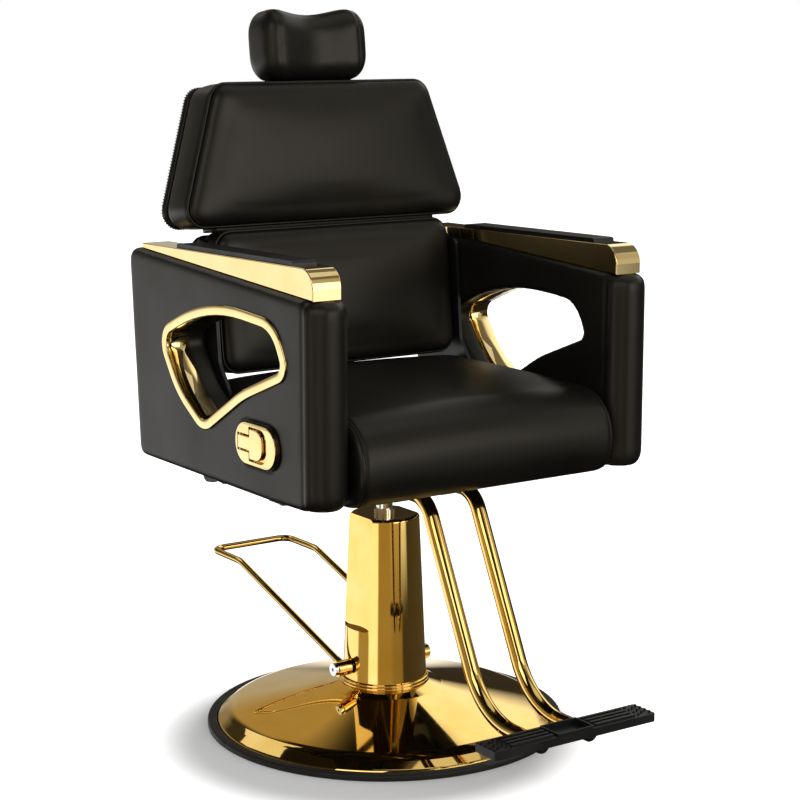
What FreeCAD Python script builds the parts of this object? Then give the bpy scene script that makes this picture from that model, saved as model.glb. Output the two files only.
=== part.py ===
import FreeCAD, Part
import math
import os
import re
import Sketcher

# Hydraulic barber chair, in millimetres
# +Z is up, the sitter faces -Y, +X is the sitter's left
# The origin is on the swivel axis at the floor

Vector = FreeCAD.Vector
Rotation = FreeCAD.Rotation
Placement = FreeCAD.Placement

os.makedirs("parts", exist_ok=True)

# Driving dimensions: name, size, what it is
DIMENSIONS = [
    ("fit", 0.05, "radial clearance of a running fit"),
    ("gap", 0.3, "clearance of a soft part or a loose fit"),
    ("over", 20, "reach of a cutting shape past what it cuts"),

    ("base_radius", 300, "outer radius of the rubber ring"),
    ("ring_wide", 16, "width of the rubber ring"),
    ("ring_tall", 10, "height of the rubber ring"),
    ("plate_thick", 5, "thickness of the base plate"),
    ("pump_seat", 2, "height of the raised seat of the pump on the plate"),
    ("pump_seat_wide", 4, "width of that seat round the pump flange"),
    ("cover_wall", 1.5, "sheet thickness of the covers"),
    ("lip_tall", 5, "height of the lip at the rim of the base cover"),
    ("lip_wide", 24, "width of the shoulder of the base cover"),
    ("lip_rise", 17, "rise of that shoulder over the lip"),
    ("cover_lap", 4, "reach of the base cover under the column"),
    ("flare_wide", 22, "width of the flare below the collar"),
    ("flare_drop", 7, "height of the flare below the collar"),
    ("collar_low", 70, "height of the underside of the collar"),
    ("collar_tall", 10, "height of the double ring collar"),
    ("collar_wide", 4, "width of the collar round the column"),
    ("collar_groove", 0.6, "half width of the groove of the collar"),
    ("column_foot_radius", 71, "radius of the column at its foot"),
    ("column_top_radius", 58.5, "radius of the column at its top"),
    ("column_top", 358, "height of the top of the column"),
    ("column_round", 5, "rounding of the top edge of the column"),
    ("flat_depth", 11.5, "depth of the stamped flats of the column"),
    ("flat_half", 41, "half width of the tool of the stamped flats"),
    ("flat_low", 167, "height of the lower end of the flats"),
    ("flat_corner", 13, "corner radius of the flats"),

    ("block_radius", 45, "radius of the pump block"),
    ("block_top", 140, "height of the top of the pump block"),
    ("port_gap", 3, "gap round the pedal shaft in the column"),
    ("flange_radius", 64, "radius of the pump flange"),
    ("flange_thick", 12, "thickness of the pump flange"),
    ("cylinder_radius", 30, "outer radius of the lift cylinder"),
    ("cylinder_bore", 20, "bore radius of the lift cylinder"),
    ("gland_radius", 17, "radius of the gland above the column"),
    ("gland_rise", 8, "height of the gland above the column"),
    ("gland_deep", 24, "depth of the gland in the cylinder"),
    ("cylinder_floor", 4, "floor of the lift cylinder"),

    ("ram_radius", 14, "radius of the ram"),
    ("ram_show", 22, "length of ram that shows above the gland"),
    ("piston_rise", 6, "height of the piston above the floor of the cylinder when down"),
    ("piston_thick", 14, "thickness of the piston"),
    ("shoulder_thick", 6, "thickness of the shoulder on the ram"),
    ("shoulder_radius", 23, "radius of the shoulder on the ram"),
    ("bearing_thick", 6, "thickness of the thrust bearing"),
    ("bearing_radius", 22, "radius of the thrust bearing"),

    ("hub_radius", 26, "radius of the seat hub"),
    ("hub_tall", 38, "height of the seat hub"),
    ("hub_roof", 13, "steel above the head of the ram"),
    ("head_room", 1, "room above the head of the ram in the hub"),
    ("seat_plate_thick", 6, "thickness of the seat plate"),
    ("seat_plate_half", 110, "half width of the seat plate"),
    ("seat_plate_front", -175, "front edge of the seat plate"),
    ("seat_plate_rear", 80, "rear edge of the seat plate"),
    ("seat_plate_corner", 18, "corner radius of the seat plate"),
    ("bar_thick", 6, "thickness of the cross bars"),
    ("bar_wide", 40, "width of the cross bars"),
    ("bar_front", -170, "front edge of the front cross bar"),
    ("bar_rear", 10, "front edge of the rear cross bar"),
    ("bar_half", 300, "half length of the cross bars"),
    ("board_thick", 15, "thickness of the seat board"),
    ("board_front", -232, "front edge of the seat board"),
    ("board_rear", 140, "rear edge of the seat board"),
    ("notch_front", 64, "front end of the notches beside the recline bars"),
    ("notch_round", 4, "rounding of the notches"),
    ("board_round", 12, "corner radius of the seat board"),

    ("arm_inner", 249, "distance from the middle to the inner face of an arm"),
    ("arm_thick", 72, "thickness of an arm"),
    ("arm_front", -300, "front of an arm"),
    ("arm_rear_low", 262, "rear of an arm at its foot"),
    ("arm_rear_top", 286, "rear of an arm at its top"),
    ("arm_tall_front", 316, "height of an arm at its front"),
    ("arm_tall_rear", 350, "height of an arm at its rear"),
    ("arm_roll", 30, "rounding of the padded front roll"),
    ("arm_round", 10, "rounding of the other long edges of an arm"),
    ("arm_corner", 22, "rounding of the corners of an arm in side view"),
    ("arm_toe", 5, "rise of the underside of an arm at its front"),
    ("arm_heel", 4, "drop of the underside of an arm at its rear"),

    ("cap_wide", 50, "width of an arm cap"),
    ("cap_front", -277, "front of an arm cap"),
    ("cap_rear", 252, "rear end of an arm cap"),
    ("cap_tall_front", 48, "height of an arm cap above the front of the arm"),
    ("cap_tall_rear", 6.5, "height of an arm cap above the rear of the arm"),
    ("cap_round", 30, "rounding of the front edge of a cap"),
    ("cap_edge", 1.5, "rounding of the side edges of a cap"),
    ("pad_front", -215, "front end of an arm pad"),
    ("pad_rear", 140, "rear end of an arm pad"),
    ("pad_wide", 42, "width of an arm pad"),
    ("pad_thick", 7, "thickness of an arm pad"),
    ("pad_round", 5, "rounding of the ends of an arm pad"),

    ("window_rear", 170, "rear corner of the arm window"),
    ("window_rear_rise", 212, "height of its rear corner above the underside of the arm"),
    ("window_bend", 127, "bend of its rear edge"),
    ("window_bend_rise", 142, "height of the bend"),
    ("window_bend_round", 160, "rounding of the bend"),
    ("window_tip", 44, "lower tip"),
    ("window_tip_rise", 83, "height of the lower tip"),
    ("window_bow", -100, "bow of the lower edge"),
    ("window_bow_rise", 166, "height of the bow"),
    ("window_bow_round", 300, "rounding of the bow"),
    ("window_front", -214, "front corner"),
    ("window_front_rise", 211, "height of the front corner"),
    ("window_brow", -180, "upper front corner"),
    ("window_brow_rise", 263, "height of the upper front corner"),
    ("window_brow_round", 55, "rounding of the upper front corner"),
    ("window_top_rise", 273, "height of the upper edge"),
    ("window_top_round", 450, "rounding of the upper edge"),
    ("window_corner", 22, "rounding of the other corners of the window"),
    ("trim_flange", 15, "width of the window flange"),
    ("trim_proud", 3, "thickness of the window flange"),
    ("trim_wall", 3, "wall of the window liner"),
    ("trim_deep", 38, "depth of the window liner from the outer face of the arm"),

    ("latch_middle", -124, "middle of the latch plate"),
    ("latch_rise", 84, "height of the middle of the latch plate above the underside of the arm"),
    ("latch_half_long", 46, "half length of the latch plate"),
    ("latch_half_tall", 32, "half height of the latch plate"),
    ("latch_thick", 7, "thickness of the latch plate"),
    ("latch_floor", 2, "thickness of the floor of its recess"),
    ("paddle_thick", 3.8, "thickness of the paddle"),
    ("paddle_front", -146, "front end of the paddle"),
    ("paddle_rear", -104, "rear end of the round part of the paddle"),
    ("paddle_half_tall", 23, "half height of the paddle"),
    ("tab_rear", -87, "rear end of the hinge tab"),
    ("tab_half_tall", 9.5, "half height of the hinge tab"),
    ("tab_round", 2, "corner radius of the hinge tab"),
    ("paddle_round", 18, "corner radius of the front of the paddle"),
    ("paddle_neck", 3, "corner radius of the rear of the paddle"),
    ("paddle_gap", 1, "gap round the paddle"),
    ("finger_gap", 7, "length of the finger slot"),
    ("hinge_place", -90.5, "place of the hinge pin"),
    ("hinge_radius", 1.2, "radius of the hinge pin"),
    ("hinge_reach", 5, "reach of the hinge pin past the tab"),

    ("seat_half", 244, "half width of the seat cushion at its front"),
    ("seat_half_rear", 234, "half width of the seat cushion at its rear"),
    ("seat_rear", 145, "rear of the seat cushion"),
    ("seat_front", -304, "front of the seat cushion"),
    ("seat_thick", 119, "thickness of the seat cushion at its seams"),
    ("seat_crown", 9, "crown of the seat cushion"),
    ("roll_drop", 18, "drop of the front roll below the board"),
    ("seat_fold", 24, "rounding of the lower front edge of the seat"),
    ("seat_tail", 14, "rounding of the upper rear edge of the seat"),
    ("cushion_corner", 12, "corner radius of the hidden edges of the cushions"),
    ("cushion_round", 10, "rounding of the ends of the cushions"),
    ("seat_round", 42, "rounding of the front roll"),

    ("pin_place", 120, "recline axis, from the swivel axis"),
    ("pin_rise", 55, "height of the recline axis above the underside of the arms"),
    ("pin_radius", 8, "radius of the recline pins"),
    ("pin_head", 13, "radius of the heads of the recline pins"),
    ("pin_head_thick", 3, "thickness of those heads"),
    ("pin_deep", 24, "depth of the recline pins in the arms"),
    ("recline_thick", 6, "thickness of the recline bars"),
    ("bar_gap", 3.5, "gap between a recline bar and its arm"),
    ("recline_boss", 32, "radius of a recline bar round its pin"),
    ("recline_head", 40, "distance of the top of a recline bar from that of the lower back"),
    ("recline_end_round", 8, "rounding of that end"),
    ("recline_bend", 24, "rounding of the bends of a recline bar"),
    ("recline_set", 2, "distance of a recline bar from the faces of the lower back"),
    ("recline_foot", 18, "height of the front bend of a recline bar"),
    ("recline_hip", 52, "height of its rear bend"),
    ("recline_hip_out", 14, "reach of that bend behind the board"),
    ("recline_waist", 110, "height where its rear edge turns upright"),
    ("recline_elbow", 62, "height of the front edge above the pin, where it leaves the boss"),
    ("recline_heel", 24, "drop of the boss below the pin"),
    ("tie_place", 160, "place of the tie tube"),
    ("tie_drop", 20, "drop of the tie tube below the underside of the arms"),
    ("tie_radius", 9, "radius of the tie tube"),
    ("tie_boss", 18, "half width of a recline bar round the tie tube"),
    ("tie_round", 14, "corner radius of that end"),

    ("back_place", 110, "lower front edge of the backrest"),
    ("back_rise", 16, "height of that edge above the seams of the seat"),
    ("back_lean", 6.5, "lean of the backrest in degrees"),
    ("lower_half", 233, "half width of the lower back"),
    ("back_split", 5, "gap between the lower and the upper back"),
    ("lower_foam", 70, "depth of the lower back cushion at its edges"),
    ("lower_crown", 14, "crown of the lower back cushion"),
    ("back_round", 18, "rounding of the front edges of the back cushions"),
    ("lower_corner", 24, "corner radius of the lower back"),
    ("back_board_thick", 18, "thickness of the back boards"),
    ("over_arms", 29, "height of the front of the upper back above the arm caps"),
    ("upper_tall", 236, "height of the upper back"),
    ("upper_half_low", 287, "half width of the upper back at its foot"),
    ("upper_half_top", 212, "half width of the upper back at its top"),
    ("upper_set", 6, "front of the upper back behind that of the lower back"),
    ("upper_foam", 94, "depth of the upper back cushion at its edges"),
    ("upper_crown", 12, "crown of the upper back cushion"),
    ("upper_corner", 26, "corner radius of the upper back"),
    ("board_set", 5, "distance of the edges of the back boards from those of their cushions"),
    ("upright_wide", 30, "width of the back uprights"),
    ("upright_place", 150, "distance of the uprights from the middle"),
    ("upright_low", 25, "lower end of the uprights"),
    ("upright_down", 43, "distance of the upper end of the uprights from the top of the back"),

    ("socket_half", 28, "half width of the headrest socket"),
    ("socket_deep", 180, "length of the headrest socket"),
    ("slide_set", 56, "middle of the headrest bar behind the front of the upper back"),
    ("socket_wall", 18, "distance of the front of the socket from the middle of its slot"),
    ("slide_half", 18, "half width of the headrest bar"),
    ("slide_thick", 10, "thickness of the headrest bar"),
    ("slide_long", 165, "length of the headrest bar below the headrest"),
    ("slide_spare", 4, "room below the headrest bar in its socket"),
    ("slide_into", 50, "length of the headrest bar in the headrest"),
    ("head_half", 101, "half width of the headrest"),
    ("head_tall", 125, "height of the headrest at its ends"),
    ("head_dip", 10, "dip in the top of the headrest"),
    ("head_front", 14, "front of the headrest at its ends"),
    ("head_hollow", 16, "hollow in the front of the headrest"),
    ("head_rear", 108, "rear of the headrest"),
    ("head_round", 32, "rounding of the ends of the headrest"),
    ("head_corner", 30, "rounding of the headrest in side view"),

    ("tube_radius", 12.5, "radius of the footrest tubes"),
    ("tube_wall", 2, "wall of the footrest tubes"),
    ("tube_place", 46, "distance of the footrest tubes from the middle"),
    ("tube_start", -62, "rear end of the footrest tubes"),
    ("tube_shoulder", -188, "upper bend of the footrest tubes"),
    ("tube_knee", -344, "lower bend of the footrest tubes"),
    ("tube_low", 106, "height of the lower end of the footrest tubes"),
    ("tube_end", -486, "front end of the footrest tubes"),
    ("shoulder_bend", 50, "radius of the upper bend"),
    ("knee_bend", 120, "radius of the lower bend"),
    ("clamp_long", 45, "length of the footrest clamps"),
    ("clamp_half", 19, "half width of the footrest clamps"),
    ("clamp_set", 50, "distance of the clamps from the front of the seat plate"),
    ("clamp_under", 5, "steel of a clamp below its tube"),
    ("tube_cap_deep", 14, "depth of the caps in the tubes"),
    ("tube_cap_tall", 7, "height of the caps past the tubes"),

    ("foot_half", 153, "half width of the footplate"),
    ("foot_ahead", 29, "reach of the footplate past the ends of the tubes"),
    ("foot_deep", 52, "depth of the footplate"),
    ("foot_thick", 13, "thickness of the footplate below its ribs"),
    ("foot_sink", 6, "depth of the grooves for the tubes under the footplate"),
    ("foot_corner", 4, "corner radius of the footplate"),
    ("rib_tall", 3, "height of the ribs"),
    ("rib_wide", 5, "width of the ribs"),
    ("rib_pitch", 11, "distance from rib to rib"),
    ("recess_half", 32, "half width of the recess of the footplate"),
    ("recess_wall", 3, "wall round that recess"),
    ("rim_set", 3, "distance of that wall from the edges of the footplate"),
    ("grip_long", 34, "length of the studded ends of the footplate"),
    ("stud_radius", 1.8, "radius of the studs"),

    ("pedal_height", 103, "height of the pedal shaft"),
    ("pedal_half", 80, "half distance of the arms of the pedal"),
    ("pedal_rod", 6, "radius of the pedal rod"),
    ("pedal_bend", 345, "place where the pedal arms turn level"),
    ("pedal_end", 448, "cross bar of the pedal"),
    ("pedal_rise", 107, "height of the cross bar above the shaft"),
    ("pedal_corner", 22, "corner radius of the pedal"),
    ("shaft_radius", 8, "radius of the pedal shaft"),
    ("shaft_half", 97, "half length of the pedal shaft"),
    ("shaft_head", 10.5, "radius of the heads of the pedal shaft"),
    ("shaft_head_thick", 7, "thickness of those heads"),
    ("head_hole", 3, "radius and depth of the centre hole in the head of the shaft"),
    ("clip_thick", 2, "thickness of the retaining clip at the far end of the shaft"),
    ("pedal_hub", 13, "radius of the pedal hubs"),
    ("pedal_gap", 2, "gap between a pedal hub and the column"),

    ("bolt_radius", 4, "radius of the arm bolts"),
    ("bolt_head", 7, "radius of the heads of the arm bolts"),
    ("bolt_head_thick", 5, "thickness of the heads of the arm bolts"),
    ("bolt_long", 34, "length of the arm bolts above their heads"),
]

doc = FreeCAD.newDocument("BarberChair")
sheet = doc.addObject("Spreadsheet::Sheet", "Sizes")
for row, (word, size, note) in enumerate(DIMENSIONS, start=1):
    sheet.set(f"A{row}", word)
    sheet.set(f"B{row}", str(size))
    sheet.set(f"C{row}", note)
    sheet.setAlias(f"B{row}", word)
doc.recompute()

WORDS = {word for word, size, note in DIMENSIONS}
NODES = {}

# Places that follow from the sizes, from the floor up and from the front back
PLACES = {
    "gland_seat": "(column_top - cover_wall - gap)",
    "piston_low": "(block_top + cylinder_floor + piston_rise)",
    "collar_height": "(column_top + gland_rise + ram_show)",
    "bearing_top": "(collar_height + shoulder_thick + bearing_thick)",
    "ram_top": "(bearing_top + hub_tall - hub_roof)",
    "plate_under": "(bearing_top + hub_tall)",
    "arm_low": "(plate_under + seat_plate_thick + bar_thick)",
    "arm_outer": "(arm_inner + arm_thick)",
    "arm_middle": "(arm_inner + arm_thick / 2)",
    "arm_top_front": "(arm_low + arm_tall_front)",
    "arm_top_rear": "(arm_low + arm_tall_rear)",
    "cap_top_front": "(arm_top_front + cap_tall_front)",
    "cap_top_rear": "(arm_top_rear + cap_tall_rear)",
    "latch_height": "(arm_low + latch_rise)",
    "board_top": "(arm_low + board_thick)",
    "seat_top": "(board_top + seat_thick)",
    "seat_roll_low": "(arm_low + board_thick - roll_drop)",
    "pin_height": "(arm_low + pin_rise)",
    "tie_height": "(arm_low - tie_drop)",
    "recline_inner": "(arm_inner - bar_gap - recline_thick)",
    "back_height": "(seat_top + back_rise)",
    "upper_low": "((cap_top_rear + over_arms - back_height) / cos(back_lean))",
    "lower_tall": "(upper_low - back_split)",
    "upper_top": "(upper_low + upper_tall)",
    "upper_rear": "(upper_set + upper_foam)",
    "board_rear_face": "(lower_foam + back_board_thick)",
    "slide_place": "(upper_set + slide_set)",
    "tube_height": "(plate_under - tube_radius)",
    "foot_front": "(tube_end - foot_ahead)",
    "foot_rear": "(foot_front + foot_deep)",
    "pedal_far": "(pedal_half + pedal_rod)",
    "foot_low": "(tube_low + tube_radius - foot_sink)",
}


def bound(text):
    """The same formula with each place worked out and each size read from the sheet"""
    def read(match):
        word = match[0]
        if word in PLACES:
            return bound(PLACES[word])
        return f"Sizes.{word}" if word in WORDS else word

    return re.sub(r"[a-z_]+", read, text)


def value(text):
    result = sheet.evalExpression(bound(text))
    return float(getattr(result, "Value", result))


def bind(thing, **formulas):
    for name, text in formulas.items():
        thing.setExpression(name.replace("__", "."), bound(text))
    return thing


def node(thing, name):
    """Marks an object as a sub-part of the chair"""
    thing.Label = name
    NODES[name] = thing
    return thing


# Sketches

def sketch_on(body, name, plane, offset="0"):
    """A sketch on one of the body's own origin planes, moved along its normal"""
    sketch = body.newObject("Sketcher::SketchObject", name)
    support = [feature for feature in body.Origin.OriginFeatures if feature.Role == plane + "_Plane"]
    sketch.AttachmentSupport = (support[0], [""])
    sketch.MapMode = "FlatFace"
    sketch.setExpression("AttachmentOffset.Base.z", bound(offset))
    return sketch


def limit(sketch, kind, text, *where):
    """A dimension bound to a formula"""
    index = sketch.addConstraint(Sketcher.Constraint(kind, *where, value(text)))
    sketch.setExpression(f"Constraints[{index}]", bound(text))


def place(sketch, geometry, position, across, up):
    limit(sketch, "DistanceX", across, -1, 1, geometry, position)
    limit(sketch, "DistanceY", up, -1, 1, geometry, position)


def circle(sketch, radius, across="0", up="0"):
    centre = Vector(value(across), value(up), 0)
    index = sketch.addGeometry(Part.Circle(centre, Vector(0, 0, 1), value(radius)), False)
    place(sketch, index, 3, across, up)
    limit(sketch, "Radius", radius, index)
    return sketch


def corner_arc(before, at, after, radius):
    """Ends and centre of the round between two straight edges"""
    back = (before - at).normalize()
    ahead = (after - at).normalize()
    half = back.getAngle(ahead) / 2
    reach = radius / math.tan(half)
    middle = at + (back + ahead).normalize() * (radius / math.sin(half))
    return at + back * reach, at + ahead * reach, middle


def outline(sketch, corners, closed=True):
    """Straight edges through corners (across, up) or (across, up, radius), every size a formula"""
    count = len(corners)
    points = [Vector(value(corner[0]), value(corner[1]), 0) for corner in corners]
    rounds = {}
    for i, corner in enumerate(corners):
        if len(corner) > 2 and (closed or 0 < i < count - 1):
            rounds[i] = corner_arc(points[i - 1], points[i], points[(i + 1) % count], value(corner[2]))
    edges = {}
    for i in range(count if closed else count - 1):
        j = (i + 1) % count
        start = rounds[i][1] if i in rounds else points[i]
        end = rounds[j][0] if j in rounds else points[j]
        edges[i] = sketch.addGeometry(Part.LineSegment(start, end), False)
    for i, corner in enumerate(corners):
        if not closed and i == count - 1:
            place(sketch, edges[i - 1], 2, corner[0], corner[1])
            continue
        if not closed and i == 0:
            place(sketch, edges[0], 1, corner[0], corner[1])
            continue
        before, after = edges[(i - 1) % count], edges[i]
        if i not in rounds:
            sketch.addConstraint(Sketcher.Constraint("Coincident", before, 2, after, 1))
            place(sketch, after, 1, corner[0], corner[1])
            continue
        start, end, middle = rounds[i]
        turn = (start - middle).cross(end - middle).z
        first, last = (start, end) if turn > 0 else (end, start)
        angles = [math.atan2(p.y - middle.y, p.x - middle.x) for p in (first, last)]
        if angles[1] < angles[0]:
            angles[1] += 2 * math.pi
        round_circle = Part.Circle(middle, Vector(0, 0, 1), (start - middle).Length)
        arc = sketch.addGeometry(Part.ArcOfCircle(round_circle, *angles), False)
        near, far = (1, 2) if turn > 0 else (2, 1)
        sketch.addConstraint(Sketcher.Constraint("Tangent", before, 2, arc, near))
        sketch.addConstraint(Sketcher.Constraint("Tangent", arc, far, after, 1))
        limit(sketch, "Radius", corner[2], arc)
        sharp = sketch.addGeometry(Part.Point(points[i]), True)
        place(sketch, sharp, 1, corner[0], corner[1])
        sketch.addConstraint(Sketcher.Constraint("PointOnObject", sharp, 1, before))
        sketch.addConstraint(Sketcher.Constraint("PointOnObject", sharp, 1, after))
    return sketch


def box_corners(left, right, low, top, radius=None):
    corners = [(left, low), (right, low), (right, top), (left, top)]
    return [corner + (radius,) for corner in corners] if radius else corners


# Features

def new_body(name):
    return doc.addObject("PartDesign::Body", name)


def pad(body, sketch, length, name="pad", middle=False):
    feature = body.newObject("PartDesign::Pad", name)
    feature.Profile = sketch
    feature.Midplane = middle
    return bind(feature, Length=length)


def pocket(body, sketch, length, name="pocket", reverse=False):
    feature = body.newObject("PartDesign::Pocket", name)
    feature.Profile = sketch
    feature.Reversed = reverse
    return bind(feature, Length=length)


def turned(body, corners, name="turned"):
    """A revolution about Z of an outline in X and Z"""
    sketch = sketch_on(body, name + "_profile", "XZ")
    outline(sketch, corners)
    feature = body.newObject("PartDesign::Revolution", name)
    feature.Profile = sketch
    feature.ReferenceAxis = (sketch, ["V_Axis"])
    feature.Angle = 360
    return feature


def loft(body, plane, stations, name="loft"):
    """A loft through outlines, straight from one to the next: each station is its place and its corners"""
    sketches = []
    for index, (where, corners) in enumerate(stations):
        sketch = sketch_on(body, f"{name}_{index}", plane, where)
        sketches.append(outline(sketch, corners))
    feature = body.newObject("PartDesign::AdditiveLoft", name)
    feature.Profile = sketches[0]
    feature.Sections = sketches[1:]
    feature.Ruled = True
    return feature


def pipe(body, plane, where, path, radius, wall=None):
    """A tube along straight runs and tangent bends, in a plane of the body"""
    spine = sketch_on(body, "route", plane, where)
    outline(spine, path, closed=False)
    doc.recompute()
    profile = body.newObject("Sketcher::SketchObject", "section")
    profile.AttachmentSupport = (spine, ["Edge1"])
    profile.MapMode = "NormalToEdge"
    circle(profile, radius)
    if wall:
        circle(profile, f"{radius} - {wall}")
    feature = body.newObject("PartDesign::AdditivePipe", "pipe")
    feature.Profile = profile
    feature.Spine = (spine, [f"Edge{n + 1}" for n in range(len(spine.Shape.Edges))])
    return feature


def fillet(body, radius, test, name="fillet"):
    """Rounds the edges of the body that pass the test"""
    doc.recompute()
    base = body.Tip
    edges = [f"Edge{n + 1}" for n, edge in enumerate(base.Shape.Edges) if test(edge)]
    feature = body.newObject("PartDesign::Fillet", name)
    feature.Base = (base, edges)
    return bind(feature, Radius=radius)


def cylinder(name, radius, height, low="0", across="0", along="0"):
    """An upright cylinder"""
    thing = doc.addObject("Part::Cylinder", name)
    bind(thing, Radius=radius, Height=height)
    return bind(thing, Placement__Base__x=across, Placement__Base__y=along, Placement__Base__z=low)


def rod_across(name, radius, start, end, along, height):
    """A cylinder along X from start to end"""
    thing = doc.addObject("Part::Cylinder", name)
    thing.Placement = Placement(Vector(), Rotation(Vector(0, 1, 0), 90))
    bind(thing, Radius=radius, Height=f"({end}) - ({start})")
    return bind(thing, Placement__Base__x=start, Placement__Base__y=along, Placement__Base__z=height)


def block(name, x_range, y_range, z_range):
    thing = doc.addObject("Part::Box", name)
    spans = {"Length": x_range, "Width": y_range, "Height": z_range}
    bind(thing, **{side: f"({high}) - ({low})" for side, (low, high) in spans.items()})
    return bind(thing, Placement__Base__x=x_range[0], Placement__Base__y=y_range[0],
                Placement__Base__z=z_range[0])


def fuse(name, *things):
    joined = doc.addObject("Part::MultiFuse", name)
    joined.Shapes = list(things)
    return joined


def cut(name, base, *tools):
    tool = tools[0] if len(tools) == 1 else fuse(name + "_tools", *tools)
    result = doc.addObject("Part::Cut", name)
    result.Base = base
    result.Tool = tool
    return result


SIDES = {"left": 1, "right": -1}


def side_range(sign, inner, outer):
    """The range in X between two distances from the middle, on one side of the chair"""
    return (inner, outer) if sign > 0 else (f"-({outer})", f"-({inner})")


# Base

def make_base():
    plate = new_body("base_plate")
    turned(plate, [("0", "0"), ("base_radius - ring_wide - gap", "0"),
                   ("base_radius - ring_wide - gap", "plate_thick"),
                   ("flange_radius + pump_seat_wide + pump_seat", "plate_thick"),
                   ("flange_radius + pump_seat_wide", "plate_thick + pump_seat"),
                   ("0", "plate_thick + pump_seat")])
    node(plate, "base_plate")

    ring = new_body("base_ring")
    turned(ring, [("base_radius - ring_wide", "0"), ("base_radius", "0"),
                  ("base_radius", "ring_tall", "ring_tall * 0.4"),
                  ("base_radius - ring_wide", "ring_tall", "ring_wide * 0.2")])
    node(ring, "base_ring")

    rim = "base_radius - ring_wide - gap"
    shoulder = "base_radius - ring_wide - lip_wide"
    neck = "column_foot_radius + collar_wide"
    flare = f"{neck} + flare_wide"
    cover = new_body("base_cover")
    turned(cover, [(rim, "plate_thick"), (rim, "plate_thick + lip_tall", "lip_wide * 0.3"),
                   (shoulder, "plate_thick + lip_tall + lip_rise", "lip_wide * 2.2"),
                   (flare, "collar_low - flare_drop", "flare_wide * 1.2"),
                   (neck, "collar_low"),
                   ("column_foot_radius - cover_lap", "collar_low"),
                   ("column_foot_radius - cover_lap", "collar_low - cover_wall"),
                   (neck, "collar_low - cover_wall"),
                   (flare, "collar_low - flare_drop - cover_wall", "flare_wide * 1.2"),
                   (shoulder, "plate_thick + lip_tall + lip_rise - cover_wall",
                    "lip_wide * 2.2 - cover_wall"),
                   (f"{rim} - cover_wall", "plate_thick + lip_tall - cover_wall / 2",
                    "lip_wide * 0.3 - cover_wall"),
                   (f"{rim} - cover_wall", "plate_thick")])
    node(cover, "base_cover")

    bead = "collar_tall / 2"
    collar = new_body("base_collar")
    inner = "column_foot_radius + gap"
    turned(collar, [(inner, "collar_low"), (neck, "collar_low", "collar_wide * 0.4"),
                    (neck, f"collar_low + {bead} - collar_groove", "collar_wide * 0.4"),
                    (f"{neck} - collar_wide * 0.5", f"collar_low + {bead}"),
                    (f"{neck} - collar_groove", f"collar_low + {bead} + collar_groove", "collar_wide * 0.4"),
                    (f"{neck} - collar_groove", "collar_low + collar_tall", "collar_wide * 0.4"),
                    (inner, "collar_low + collar_tall")])
    node(collar, "base_collar")


COLUMN_LEAN = "atan((column_foot_radius - column_top_radius) / (column_top - collar_low))"


def column_form(name, inset):
    """The tapered column with a stamped flat on each side, shrunk by an inset"""
    cone = new_body(name + "_cone")
    turned(cone, [("0", "collar_low"), (f"column_foot_radius - {inset}", "collar_low"),
                  (f"column_top_radius - {inset}", f"column_top - {inset}", "column_round"),
                  ("0", f"column_top - {inset}")])
    flats = []
    for side, sign in SIDES.items():
        flat = new_body(f"{name}_flat_{side}")
        sketch = sketch_on(flat, "flat_outline", "YZ")
        outline(sketch, [(f"-flat_half - {inset}", f"flat_low - {inset}", "flat_corner"),
                         (f"flat_half + {inset}", f"flat_low - {inset}", "flat_corner"),
                         (f"flat_half + {inset}", "column_top + over"),
                         (f"-flat_half - {inset}", "column_top + over")])
        pad(flat, sketch, "column_foot_radius").Reversed = sign < 0
        flat.Placement = Placement(Vector(), Rotation(Vector(0, -sign, 0), 1))
        reach = f"column_foot_radius - flat_depth - {inset} + collar_low * tan({COLUMN_LEAN})"
        bind(flat, Placement__Rotation__Angle=COLUMN_LEAN, Placement__Base__x=f"{sign} * ({reach})")
        flats.append(flat)
    return cut(name, cone, *flats)


def make_column():
    outside = column_form("column_outside", "0")
    inside = column_form("column_inside", "cover_wall")
    hole = cylinder("column_hole", "gland_radius + gap", "2 * over", "column_top - over")
    ports = rod_across("column_ports", "shaft_radius + port_gap", "-column_foot_radius - over",
                       "column_foot_radius + over", "0", "pedal_height")
    node(cut("column_cover", outside, inside, hole, ports), "column_cover")


def make_pump():
    body = cylinder("pump_block_round", "block_radius", "block_top - plate_thick - pump_seat",
                    "plate_thick + pump_seat")
    flange = cylinder("pump_flange", "flange_radius", "flange_thick", "plate_thick + pump_seat")
    bore = rod_across("pump_shaft_bore", "shaft_radius + fit", "-block_radius - over",
                      "block_radius + over", "0", "pedal_height")
    node(cut("pump_body", fuse("pump_casting", body, flange), bore), "pump_body")

    tube = cylinder("cylinder_outside", "cylinder_radius", "gland_seat - block_top", "block_top")
    hollow = cylinder("cylinder_inside", "cylinder_bore", "column_top", "block_top + cylinder_floor")
    node(cut("pump_cylinder", tube, hollow), "pump_cylinder")

    plug = cylinder("gland_plug", "cylinder_bore - gap", "gland_deep", "gland_seat - gland_deep")
    head = cylinder("gland_head", "gland_radius", "gland_rise + cover_wall + gap", "gland_seat")
    bore = cylinder("gland_bore", "ram_radius + fit", "column_top", "block_top")
    node(cut("pump_gland", fuse("gland_round", plug, head), bore), "pump_gland")


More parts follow.
